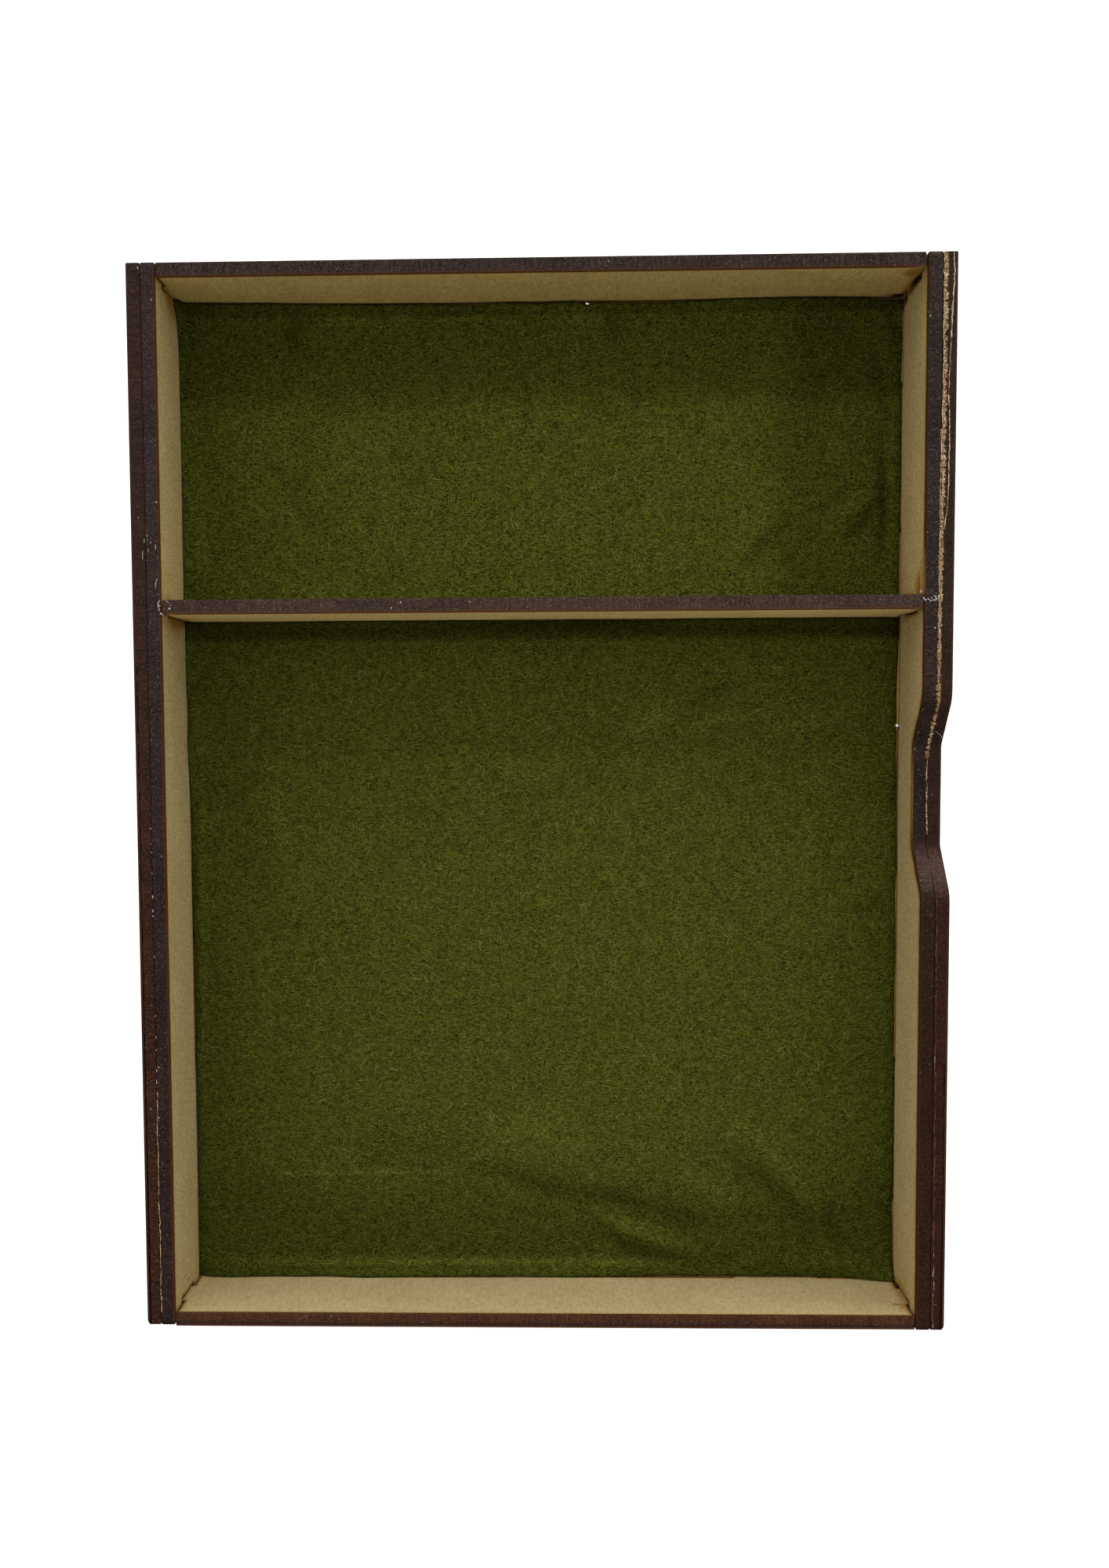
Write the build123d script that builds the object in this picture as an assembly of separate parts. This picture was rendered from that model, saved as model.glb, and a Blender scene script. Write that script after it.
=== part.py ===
# Dice storage box: an open tray of laser-cut fibreboard with two felt-lined compartments.
# Each side wall is two boards glued together, and the right one has a finger notch in its rim.
# Millimetres. +Z up, X across, Y along with the rear at +Y, origin under the middle of the tray.
import math
import os

from build123d import *

# Sheet material
board = 3.0              # thickness of every fibreboard panel
felt_thickness = 1.5
cut_gap = 0.05           # clearance that the laser leaves on each flank of a tab
felt_gap = 0.6           # from the felt's cut edge to the walls and the divider

# Compartments
inner_width = 156.0      # between the inner side boards
rear_length = 65.0       # small compartment, from the divider to the rear wall
front_length = 147.0     # large compartment, from the front wall to the divider
wall_height = 28.0       # from the surface that the tray stands on to the rim

# Finger notch in the right-hand wall
notch_mouth = 40.0       # width at the rim, between the flanks before rounding
notch_depth = 9.5
notch_slope = 45.0       # degrees between each flank and the horizontal
notch_centre = 1.2       # along Y from the tray's middle
notch_lip_radius = 5.0   # where a flank meets the rim
notch_foot_radius = 2.0  # where a flank meets the notch's flat bottom

# Tabs that hold the panels together
corner_tab = 11.0        # height of the tab at each end of an end wall
divider_tab = 11.0       # height of the tab at each end of the divider
end_foot = 20.0          # width of an end wall's foot tabs, which pass through the base board
end_feet = 3
side_foot = 31.5         # width of an inner side board's foot tabs
side_feet = 3
divider_foot = 20.0      # width of the divider's foot tabs
divider_feet = 2

# Upright corners at the front of the cover boards, sanded round
front_corner_radius = 1.0

inner_length = rear_length + board + front_length
half_width = inner_width / 2
half_inner = inner_length / 2
half_outer = half_inner + board
base_width = half_width + board                  # half the base board, to the cover boards
divider_rear = half_inner - rear_length
divider_front = divider_rear - board
tab_level = (board + wall_height) / 2            # side tabs sit half-way up the open part of a wall


# Rectangle on a drawing plane, grown by a clearance on all sides.
def patch(u_low, u_high, v_low, v_high, grow=0.0):
    size = Rectangle(u_high - u_low + 2 * grow, v_high - v_low + 2 * grow)
    return Pos((u_low + u_high) / 2, (v_low + v_high) / 2) * size


# Start and end of each of count tabs, spaced evenly along an edge that is centred on zero.
def tab_spans(edge_length, tab_width, count):
    step = edge_length / count
    middles = [(i - (count - 1) / 2) * step for i in range(count)]
    return [(m - tab_width / 2, m + tab_width / 2) for m in middles]


# Panel that stands along Y, drawn in Y and Z, one board thick and growing outwards from x_face.
def side_panel(outline, x_face):
    outward = math.copysign(1, x_face)
    plane = Plane(origin=(x_face, 0, 0), x_dir=(0, 1, 0), z_dir=(1, 0, 0))
    return extrude(plane * outline, amount=outward * board)


# Panel that stands along X, drawn in X and Z, one board thick and growing rearwards from y_front.
def cross_panel(outline, y_front):
    plane = Plane(origin=(0, y_front, 0), x_dir=(1, 0, 0), z_dir=(0, -1, 0))
    return extrude(plane * outline, amount=-board)


side_foot_spans = tab_spans(2 * half_outer, side_foot, side_feet)
end_foot_spans = tab_spans(inner_width, end_foot, end_feet)
divider_foot_spans = tab_spans(inner_width, divider_foot, divider_feet)


# Area that the finger notch takes out of a side board, in Y and Z. It widens above the rim so that
# each lip is a corner of the outline and can be rounded.
def notch_cut():
    run = notch_depth / math.tan(math.radians(notch_slope))
    mouth = notch_mouth / 2
    above = 2 * notch_lip_radius
    floor_level = wall_height - notch_depth
    right_half = [
        (mouth - run, floor_level),
        (mouth, wall_height),
        (mouth + above, wall_height),
        (mouth + above, wall_height + above),
    ]
    left_half = [(-u, v) for u, v in reversed(right_half)]
    cut = Pos(notch_centre, 0) * make_face(Polyline(*right_half, *left_half, close=True))
    lips = [v for v in cut.vertices()
            if abs(abs(v.X - notch_centre) - mouth) < 1e-6 and abs(v.Y - wall_height) < 1e-6]
    cut = fillet(lips, notch_lip_radius)
    feet = [v for v in cut.vertices() if abs(v.Y - floor_level) < 1e-6]
    return fillet(feet, notch_foot_radius)


# Structural side board: feet through the base board, an open slot at each end for the end wall's
# tab, and a closed mortise for the divider's tab.
def inner_side(x_face, notched):
    outline = patch(-half_outer, half_outer, board, wall_height)
    for start, end in side_foot_spans:
        outline += patch(start, end, 0, board)
    slot = (tab_level - corner_tab / 2, tab_level + corner_tab / 2)
    outline -= patch(half_inner, half_outer, *slot, grow=cut_gap)
    outline -= patch(-half_outer, -half_inner, *slot, grow=cut_gap)
    mortise = (tab_level - divider_tab / 2, tab_level + divider_tab / 2)
    outline -= patch(divider_front, divider_rear, *mortise, grow=cut_gap)
    if notched:
        outline -= notch_cut()
    return side_panel(outline, x_face)


# Cover board glued over the joints: plain, with its upright front corner rounded.
def outer_side(x_face, notched):
    outline = patch(-half_outer, half_outer, 0, wall_height)
    if notched:
        outline -= notch_cut()
    cover = side_panel(outline, x_face)
    uprights = cover.edges().filter_by(Axis.Z).group_by(Axis.Y)[0]
    outer_edge = max(uprights, key=lambda edge: abs(edge.center().X))
    return fillet(outer_edge, front_corner_radius)


# End wall: one tab through each inner side board, and feet through the base board.
def end_wall(y_front):
    outline = patch(-half_width, half_width, board, wall_height)
    outline += patch(-base_width, base_width, tab_level - corner_tab / 2, tab_level + corner_tab / 2)
    for start, end in end_foot_spans:
        outline += patch(start, end, 0, board)
    return cross_panel(outline, y_front)


# Divider: tabs into the mortises of the inner side boards and of the base board.
def divider():
    outline = patch(-half_width, half_width, board, wall_height)
    outline += patch(-base_width, base_width, tab_level - divider_tab / 2, tab_level + divider_tab / 2)
    for start, end in divider_foot_spans:
        outline += patch(start, end, 0, board)
    return cross_panel(outline, divider_front)


# Base board: its edge fingers fill the spaces between the walls' feet, out to the cover boards.
def base_board():
    outline = patch(-base_width, base_width, -half_outer, half_outer)
    for start, end in side_foot_spans:
        outline -= patch(half_width, base_width, start, end, grow=cut_gap)
        outline -= patch(-base_width, -half_width, start, end, grow=cut_gap)
    for start, end in end_foot_spans:
        outline -= patch(start, end, half_inner, half_outer, grow=cut_gap)
        outline -= patch(start, end, -half_outer, -half_inner, grow=cut_gap)
    for start, end in divider_foot_spans:
        outline -= patch(start, end, divider_front, divider_rear, grow=cut_gap)
    return extrude(outline, amount=board)


# Felt sheet glued to the base board, cut a little smaller than its compartment.
def felt(y_low, y_high):
    sheet = patch(-half_width, half_width, y_low, y_high, grow=-felt_gap)
    return extrude(Pos(0, 0, board) * sheet, amount=felt_thickness)


pieces = {
    "base_board": base_board(),
    "rear_wall": end_wall(half_inner),
    "front_wall": end_wall(-half_outer),
    "divider": divider(),
    "left_inner_wall": inner_side(-half_width, notched=False),
    "left_outer_wall": outer_side(-base_width, notched=False),
    "right_inner_wall": inner_side(half_width, notched=True),
    "right_outer_wall": outer_side(base_width, notched=True),
    "rear_felt": felt(divider_rear, half_inner),
    "front_felt": felt(-half_inner, divider_front),
}

os.makedirs("parts", exist_ok=True)
for node, solid in pieces.items():
    export_step(solid, f"parts/{node}.step")
    print(f"{node}: {solid.volume:.0f} mm3")
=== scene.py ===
import math

import bpy
import numpy as np
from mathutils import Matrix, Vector
from mathutils.geometry import delaunay_2d_cdt


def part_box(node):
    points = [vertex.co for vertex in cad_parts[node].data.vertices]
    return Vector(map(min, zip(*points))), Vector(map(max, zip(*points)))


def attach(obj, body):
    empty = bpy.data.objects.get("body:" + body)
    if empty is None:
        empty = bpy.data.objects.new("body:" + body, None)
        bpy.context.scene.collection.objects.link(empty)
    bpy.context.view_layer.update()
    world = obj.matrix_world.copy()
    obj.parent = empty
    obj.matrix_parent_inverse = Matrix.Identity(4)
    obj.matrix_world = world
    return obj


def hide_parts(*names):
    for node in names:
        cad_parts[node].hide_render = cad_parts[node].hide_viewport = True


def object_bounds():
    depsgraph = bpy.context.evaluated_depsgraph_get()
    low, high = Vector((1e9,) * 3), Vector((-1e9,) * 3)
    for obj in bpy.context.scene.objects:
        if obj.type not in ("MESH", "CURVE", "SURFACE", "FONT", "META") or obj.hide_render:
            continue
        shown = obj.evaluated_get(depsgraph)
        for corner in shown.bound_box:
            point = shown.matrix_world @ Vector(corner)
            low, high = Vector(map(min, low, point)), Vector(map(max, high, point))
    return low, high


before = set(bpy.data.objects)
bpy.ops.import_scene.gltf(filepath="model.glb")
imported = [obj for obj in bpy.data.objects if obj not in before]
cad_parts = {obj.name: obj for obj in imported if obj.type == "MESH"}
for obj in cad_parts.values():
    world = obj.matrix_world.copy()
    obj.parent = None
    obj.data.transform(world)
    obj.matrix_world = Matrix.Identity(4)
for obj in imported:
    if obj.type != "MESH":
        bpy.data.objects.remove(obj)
cadLow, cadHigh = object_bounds()
mm = 0.001
scene = bpy.context.scene

# Places of the tray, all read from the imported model
tray = {
    "rim": cadHigh.z,
    "outer": cadHigh.x,
    "end": cadHigh.y,
    "inner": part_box("right_inner_wall")[0].x,
    "cover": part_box("right_outer_wall")[0].x,
    "endInner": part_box("rear_wall")[0].y,
    "floor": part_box("base_board")[1].z,
    "feltTop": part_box("front_felt")[1].z,
    "dividerFront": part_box("divider")[0].y,
    "dividerRear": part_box("divider")[1].y,
}
board = tray["outer"] - tray["cover"]

# Joints of the boards, the same sizes as in the model
joint = {
    "tab": 11 * mm,  # height of the tabs at the ends of the end walls and the divider
    "endFoot": 20 * mm,
    "endFeet": 3,
    "sideFoot": 31.5 * mm,
    "sideFeet": 3,
    "dividerFoot": 20 * mm,
    "dividerFeet": 2,
    "gap": 0.05 * mm,
    "kerf": 0.2 * mm,  # between a side board's slot and the end wall's tab in it
    "short": 0.35 * mm,  # by which the left-hand boards stop before the front wall's face
}
notch = {
    "mouth": 40 * mm,
    "depth": 9.5 * mm,  # the flanks fall at 45 degrees
    "centre": 1.2 * mm,
    "lip": 5 * mm,
    "foot": 2 * mm,
}
tabLow = (board + tray["rim"]) / 2 - joint["tab"] / 2
tabHigh = tabLow + joint["tab"]
print("frame read: rim at", round(tray["rim"] / mm, 2), "mm")


# Noise on scattered points: a lattice of random values, blended between its corners by 3t^2 - 2t^3.
def softNoise(x, y, cell, seed):
    table = np.random.default_rng(seed).random((256, 256))
    gx, gy = x / cell, y / cell
    ix, iy = np.floor(gx).astype(int), np.floor(gy).astype(int)
    tx, ty = gx - ix, gy - iy
    tx, ty = tx * tx * (3 - 2 * tx), ty * ty * (3 - 2 * ty)
    a = table[ix % 256, iy % 256]
    b = table[(ix + 1) % 256, iy % 256]
    c = table[ix % 256, (iy + 1) % 256]
    d = table[(ix + 1) % 256, (iy + 1) % 256]
    return (a * (1 - tx) + b * tx) * (1 - ty) + (c * (1 - tx) + d * tx) * ty - 0.5


# Ramp from 0 to 1 between two values, with level ends: 3t^2 - 2t^3.
def smoothStep(low, high, x):
    t = np.clip((x - low) / (high - low), 0, 1)
    return t * t * (3 - 2 * t)


# Mesh from an array of points and arrays of faces, each array with one number of corners.
def meshPiece(name, points, faceArrays, smooth=True):
    mesh = bpy.data.meshes.new(name)
    corners = np.concatenate([np.asarray(f, int).ravel() for f in faceArrays])
    sizes = np.concatenate([np.full(len(f), np.shape(f)[1]) for f in faceArrays])
    mesh.vertices.add(len(points))
    mesh.vertices.foreach_set("co", np.asarray(points, np.float32).ravel())
    mesh.loops.add(len(corners))
    mesh.loops.foreach_set("vertex_index", corners.astype(np.int32))
    mesh.polygons.add(len(sizes))
    mesh.polygons.foreach_set("loop_start", (np.cumsum(sizes) - sizes).astype(np.int32))
    mesh.update(calc_edges=True)
    mesh.polygons.foreach_set("use_smooth", np.full(len(sizes), smooth))
    piece = bpy.data.objects.new(name, mesh)
    scene.collection.objects.link(piece)
    return piece


def pointValues(piece, name, values):
    made = piece.data.attributes.new(name, "FLOAT", "POINT")
    made.data.foreach_set("value", np.asarray(values, np.float32))


def dress(piece, material, slot, *nodes):
    piece.data.materials.append(material)
    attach(piece, "root")
    if nodes:
        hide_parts(*nodes)
    return piece


# Shader helpers: inputs that are linked or set, a node with its settings, and a group with its sockets.
def setInputs(tree, node, values):
    for key, value in values.items():
        if isinstance(value, bpy.types.NodeSocket):
            tree.links.new(value, node.inputs[key])
        else:
            node.inputs[key].default_value = value


def put(tree, kind, values=None, **settings):
    made = tree.nodes.new("ShaderNode" + kind)
    for key, value in settings.items():
        setattr(made, key, value)
    setInputs(tree, made, values or {})
    return made


def shaderGroup(name, inputs, outputs):
    tree = bpy.data.node_groups.new(name, "ShaderNodeTree")
    for way, sockets in (("INPUT", inputs), ("OUTPUT", outputs)):
        for socket, kind in sockets.items():
            tree.interface.new_socket(socket, in_out=way, socket_type="NodeSocket" + kind)
    return tree, tree.nodes.new("NodeGroupInput").outputs, tree.nodes.new("NodeGroupOutput")


def calc(tree, operation, a, b=0.0, c=0.0, clamp=False):
    return put(tree, "Math", {0: a, 1: b, 2: c}, operation=operation, use_clamp=clamp).outputs[0]


def times(tree, a, b, clamp=False):
    return calc(tree, "MULTIPLY", a, b, clamp=clamp)


def ramp(tree, value, low, high):
    return put(tree, "MapRange", {"Value": value, "From Min": low, "From Max": high},
               interpolation_type="SMOOTHSTEP").outputs[0]


# Value that goes from least to least + amount while the given one goes from low to high.
def swing(tree, value, low, high, amount, least):
    return calc(tree, "MULTIPLY_ADD", ramp(tree, value, low, high), amount, least)


def blendColour(tree, share, a, b, blendType="MIX"):
    a, b = (v if isinstance(v, bpy.types.NodeSocket) else (*v, 1) for v in (a, b))
    return put(tree, "Mix", {0: share, 6: a, 7: b}, data_type="RGBA", blend_type=blendType).outputs[2]


# Colour multiplied by a single value.
def shaded(tree, colour, tone):
    grey = put(tree, "CombineColor", {"Red": tone, "Green": tone, "Blue": tone}).outputs[0]
    return blendColour(tree, 1.0, colour, grey, "MULTIPLY")


def noise(tree, vector, scale, detail=2.0, roughness=0.5, distortion=0.0):
    return put(tree, "TexNoise", {"Vector": vector, "Scale": scale, "Detail": detail,
                                  "Roughness": roughness, "Distortion": distortion}).outputs["Fac"]


def stretched(tree, vector, scale, turn=0.0):
    return put(tree, "Mapping", {"Vector": vector, "Scale": scale, "Rotation": (0, 0, turn)}).outputs[0]


def vectorMath(tree, operation, a, b):
    return put(tree, "VectorMath", {0: a, 1: b}, operation=operation).outputs[0]


def attribute(tree, name):
    return put(tree, "Attribute", attribute_name=name).outputs["Fac"]


def objectPlace(tree):
    return put(tree, "TexCoord").outputs["Object"]


# Random value of each cell of a Voronoi pattern.
def cellValue(tree, cells):
    return put(tree, "SeparateColor", {0: cells.outputs["Color"]}).outputs["Red"]


def emptyTree(owner):
    owner.use_nodes = True
    owner.node_tree.nodes.clear()
    return owner.node_tree


def newMaterial(name):
    material = bpy.data.materials.new(name)
    tree = emptyTree(material)
    shader = put(tree, "BsdfPrincipled")
    put(tree, "OutputMaterial", {0: shader.outputs[0]})
    return material, tree, shader


# The scales of the looks are waves or cells to the metre, and a triple is for x, y and z.
charLook = {
    "bands": (2100, 420, 1),
    "patches": 110,
    "mottle": 2500,
    "grains": 4200,
    "cells": 560,
    "dust": (0.16, 0.13, 0.14),
    "speck": (0.42, 0.38, 0.37),
}


# Charred edge: a fine mottle with faint bands across the board, pale ash and a few white specks, which are
# partly ash and partly a painted sparkle of the char's sheen.
def makeCharGroup():
    look = charLook
    tree, given, out = shaderGroup(
        "laserChar",
        {"UV": "Vector", "Object": "Vector", "Char": "Color", "Ash": "Float", "Streak": "Float"},
        {"Color": "Color", "Roughness": "Float", "Height": "Float"},
    )
    place, ash = given["Object"], given["Ash"]
    bands = noise(tree, stretched(tree, given["UV"], look["bands"]), 1, 2, 0.6)
    patches = noise(tree, place, look["patches"], 3, 0.6)
    mottle = noise(tree, place, look["mottle"], 2, 0.7)
    grains = noise(tree, place, look["grains"], 1, 0.5)
    streak = calc(tree, "MULTIPLY_ADD", swing(tree, bands, 0.3, 0.7, 0.34, -0.17), given["Streak"], 1.0)
    tone = times(tree, swing(tree, patches, 0.3, 0.7, 0.34, 0.83), streak)
    tone = times(tree, tone, swing(tree, mottle, 0.3, 0.7, 0.9, 0.55))
    base = shaded(tree, given["Char"], tone)
    dust = times(tree, ramp(tree, grains, 0.56, 0.74), ramp(tree, mottle, 0.4, 0.7))
    base = blendColour(tree, times(tree, dust, ash, clamp=True), base, look["dust"])
    # rare white specks, partly ash and partly a painted sparkle of the char's sheen
    cells = put(tree, "TexVoronoi", {"Vector": place, "Scale": look["cells"], "Randomness": 1.0})
    rare = ramp(tree, cellValue(tree, cells), 0.80, 0.84)
    speck = times(tree, ramp(tree, cells.outputs["Distance"], 0.13, 0.05), rare)
    setInputs(tree, out, {
        "Color": blendColour(tree, times(tree, speck, ash, clamp=True), base, look["speck"]),
        "Roughness": calc(tree, "MULTIPLY_ADD", mottle, 0.3, 0.5),
        "Height": calc(tree, "ADD", times(tree, bands, 0.4), times(tree, mottle, 0.6)),
    })
    return tree


faceLook = {
    "cloud": 70,
    "grain": (900, 900, 420),
    "fine": (2600, 2600, 700),
    "flecks": (1500, 1500, 900),
    "fleck": (0.12, 0.075, 0.03),
}


# Pressed fibre face: beige with a fine mottle and dark flecks a few tenths of a millimetre long.
def makeFaceGroup():
    look = faceLook
    tree, given, out = shaderGroup(
        "pressedFibre",
        {"Object": "Vector", "Light": "Color", "Dark": "Color", "Fleck": "Float", "Grain": "Float"},
        {"Color": "Color", "Height": "Float"},
    )
    place = given["Object"]
    cloud = noise(tree, place, look["cloud"], 3, 0.6)
    grain = noise(tree, stretched(tree, place, look["grain"]), 1, 3, 0.65)
    fine = noise(tree, stretched(tree, place, look["fine"]), 1, 1, 0.5)
    flecks = noise(tree, stretched(tree, place, look["flecks"]), 1, 1, 0.5)
    mixed = calc(tree, "ADD", times(tree, cloud, 0.5), times(tree, grain, 0.5))
    base = blendColour(tree, ramp(tree, mixed, 0.33, 0.67), given["Dark"], given["Light"])
    tone = calc(tree, "MULTIPLY_ADD", swing(tree, fine, 0.25, 0.75, 0.36, -0.18), given["Grain"], 1.0)
    darkFleck = times(tree, ramp(tree, flecks, 0.66, 0.78), given["Fleck"])
    setInputs(tree, out, {
        "Color": blendColour(tree, darkFleck, shaded(tree, base, tone), look["fleck"]),
        "Height": calc(tree, "ADD", grain, fine),
    })
    return tree


# Smoke stain, also used for painted shade in corners and seams: falls off with the distance from a point,
# in units of a radius for each axis.
def makeStainAndShadeGroup():
    tree, given, out = shaderGroup(
        "smokeStainAndShade",
        {"Object": "Vector", "Centre": "Vector", "Radii": "Vector", "Strength": "Float"},
        {"Mask": "Float"},
    )
    away = vectorMath(tree, "SUBTRACT", given["Object"], given["Centre"])
    scaled = vectorMath(tree, "DIVIDE", away, given["Radii"])
    length = put(tree, "VectorMath", {0: scaled}, operation="LENGTH").outputs["Value"]
    ragged = calc(tree, "MULTIPLY_ADD", noise(tree, given["Object"], 900, 2, 0.6), 0.5, -0.25)
    mask = ramp(tree, calc(tree, "ADD", length, ragged), 1.0, 0.15)
    setInputs(tree, out, {"Mask": times(tree, mask, given["Strength"])})
    return tree


charGroup, faceGroup, stainAndShadeGroup = makeCharGroup(), makeFaceGroup(), makeStainAndShadeGroup()

boardLook = {
    "light": (0.51, 0.41, 0.215),
    "dark": (0.44, 0.345, 0.17),
    "fleck": 0.6,
    "amber": (0.33, 0.175, 0.03),
    "sootAndShade": (0.020, 0.011, 0.006),
    "faceBump": 0.05,
    "charBump": 0.35,
    "paleChar": (0.063, 0.036, 0.028),
    "darkChar": (0.0135, 0.0080, 0.0080),
    "warmChar": (0.085, 0.040, 0.018),
    "rearEnd": 0.07,  # from here forwards the char of the side boards turns redder
    "frontEnd": -0.06,
}

# Finish of a board: its char at the rear and at the front of the tray, how much ash lies on it at the
# front and at the rear, the colour of its burnt arris, how much its cut streaks, its tone, which is painted
# light and shade: the brightness and tint of the light and shade that fall on its faces seen from above,
# the y from which it has its back's tone instead, its fleck, how far the tan spreads, its stains, which are
# laser smoke and painted shade in its corners and seams, and its patches of other char. Stains and patches
# are (x, y, z, radius x, radius y, radius z, strength) in millimetres, and a stain under 0.45 in strength
# is brown, without the dark colour of soot and shade.
plainFinish = {
    "streak": 1, "tone": (1, 1, 1), "turns": 900, "back": (1, 1, 1), "fleck": 1, "halo": 1,
    "stainsAndShade": [], "patches": [],
}
boardFinish = {
    "base": {
        "char": (0.03, 0.015, 0.01), "ash": (0.4, 0.4), "burn": (0.05, 0.02, 0.006), "fleck": 0.5,
        "halo": 0.5,
        # the strips along the walls paint shade into the gaps beside the felts, over a burnt edge
        "stainsAndShade": [
            (-78, 0, 3.2, 2.2, 260, 1.2, 0.8), (78, 0, 3.2, 2.2, 260, 1.2, 0.45),
            (78, 5, 3.2, 2.2, 14, 1.2, 0.7), (0, 107.5, 3.2, 200, 2.2, 1.2, 0.62),
            (0, -107.5, 3.2, 200, 2.2, 1.2, 0.8), (0, 41, 3.2, 200, 3.4, 1.2, 0.8),
        ],
    },
    # its tone paints the yellowish shade onto the rear wall's inner face
    "rear": {
        "char": (0.0305, 0.0178, 0.0138), "ash": (0.8, 0.8), "burn": (0.066, 0.024, 0.008), "streak": 2.4,
        "tone": (1.02, 0.95, 0.62), "turns": 109.4, "back": (1.06, 1.03, 0.93), "fleck": 0.8, "halo": 0.9,
        "stainsAndShade": [
            (-78, 107.5, 14, 1.7, 1.2, 13, 0.38), (-78, 107.5, 20.6, 1.1, 1, 0.8, 1),
            (78, 107.5, 16, 3, 1.2, 18, 0.42), (77.6, 107.5, 24, 5.5, 1.2, 6, 0.66),
            (78, 107.5, 18, 1.9, 1, 13, 0.95), (76, 107.5, 23.5, 3, 1, 5, 0.55),
            (77.4, 107.5, 5.4, 5.2, 1.2, 3.4, 0.95),
        ],
    },
    "front": {
        "char": (0.056, 0.0215, 0.0082), "ash": (0.35, 0.35), "burn": (0.12, 0.042, 0.01), "streak": 1.2,
        "tone": (1.06, 1.04, 0.97), "fleck": 0.6, "halo": 0.9,
        "stainsAndShade": [
            (-78, -107.5, 14, 0.9, 1, 13, 0.2), (78, -107.5, 14, 2.2, 1, 15, 0.42),
            (75.7, -107.5, 20.6, 2.2, 0.8, 0.5, 0.75), (77.6, -107.5, 24.5, 1.4, 0.8, 3.4, 0.6),
            (76.8, -107.5, 22, 2.6, 0.8, 4, 0.36),
        ],
        "patches": [(0, -110.6, 28, 600, 1.9, 9, 1, "darkChar")],
    },
    # its tone paints light onto the divider's front face, which lies in shade
    "divider": {
        "char": (0.046, 0.025, 0.018), "ash": (1, 1), "burn": (0.09, 0.032, 0.01), "streak": 1.6,
        "tone": (1.49, 1.39, 1.03), "turns": 41.6, "back": (1.12, 1.07, 0.86), "fleck": 0.8, "halo": 0.9,
        # the stains at its ends are laser smoke and painted shade in its seams with the side walls
        "stainsAndShade": [
            (-76, 41, 28, 2.2, 2.5, 1, 0.5), (77, 41, 28, 1.6, 2.5, 1, 0.5),
            (-76.5, 39.5, 12, 2.4, 1, 8, 0.4), (77.2, 39.5, 12, 1.6, 1, 9, 0.36),
            (-77.8, 39.5, 14, 0.9, 1, 12, 0.95), (77.8, 39.5, 14, 0.8, 1, 12, 0.8),
        ],
    },
    "leftInner": {
        "char": (0.0265, 0.0156, 0.0147), "front": (0.0198, 0.0096, 0.0077), "ash": (0.9, 1),
        "burn": (0.058, 0.02, 0.007), "tone": (1.08, 1.06, 0.91), "halo": 1.25,
        # the stains at its corners and beside the divider are laser smoke and painted shade
        "stainsAndShade": [
            (-78, 106, 12, 1, 6.8, 10.5, 0.44), (-78, 106.4, 13, 1, 3, 10, 0.55),
            (-78, 107.4, 9, 1, 1.4, 7, 0.8), (-78, 107.5, 20.6, 1, 1.2, 0.9, 1),
            (-78, 39.5, 12, 1, 2.9, 14, 1), (-78, 39.5, 9, 1, 2, 12, 0.8),
            (-78, 38.6, 15, 1, 4.8, 14, 0.4), (-78, -107, 14, 1, 0.9, 11, 0.2),
            (-78, -106.4, 20.4, 1, 0.7, 0.8, 1), (-78, -103, 17.5, 0.6, 0.3, 2.6, 0.6),
            (-78, -104.6, 14.5, 0.6, 0.3, 2.2, 0.6),
        ],
    },
    "leftCover": {
        "char": (0.0277, 0.0125, 0.0085), "front": (0.03, 0.0106, 0.0042), "ash": (0.8, 0.25),
        "burn": (0.04, 0.018, 0.01), "streak": 1.6, "tone": (1, 1, 0.95), "fleck": 1.6,
    },
    "rightInner": {
        "char": (0.0236, 0.0152, 0.0138), "front": (0.0218, 0.0084, 0.0034), "ash": (0.3, 1.15),
        "burn": (0.034, 0.014, 0.004), "streak": 1.5, "tone": (1.05, 1, 0.87), "halo": 2.6,
        "stainsAndShade": [
            (78, 107.4, 14, 1, 1.8, 13, 0.42), (78, 106.8, 6.2, 1, 2.4, 3.4, 0.85),
            (78, 46, 26, 1, 10, 4.6, 0.36), (78, 43.6, 22.4, 1, 5.8, 1.9, 1),
            (78, 0.6, 18.7, 1, 17, 2.4, 0.34), (78, 44, 21.5, 1, 5, 5.5, 0.42),
            (78, 43.2, 12, 1, 1.6, 9, 0.5), (78, 38.9, 10, 1, 1.5, 8, 0.34),
            (78, -106.6, 13, 1, 2.6, 12, 0.43), (78, -107.4, 10, 1, 1.1, 9, 0.9),
            (78, -26, 26.3, 0.6, 2.2, 0.5, 0.5),
        ],
        "patches": [
            (79.5, 1.2, 18.5, 6, 15, 2.2, 0.9, "darkChar"),
            (79.5, -14.2, 23.4, 6, 8.5, 8.5, 1, "paleChar"),
            (79.9, 110.8, 28, 2.2, 1.5, 4, 0.8, "warmChar"),
        ],
    },
    "rightCover": {
        "char": (0.0236, 0.012, 0.0072), "front": (0.0265, 0.0085, 0.0042), "ash": (0.24, 0.4),
        "burn": (0.05, 0.022, 0.01), "streak": 1.2, "tone": (1, 1, 0.95),
        "patches": [(82.5, -14.2, 23.4, 6, 8.5, 8.5, 1, "paleChar")],
    },
}
boardFinish = {name: {**plainFinish, "front": own["char"], **own} for name, own in boardFinish.items()}


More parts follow.
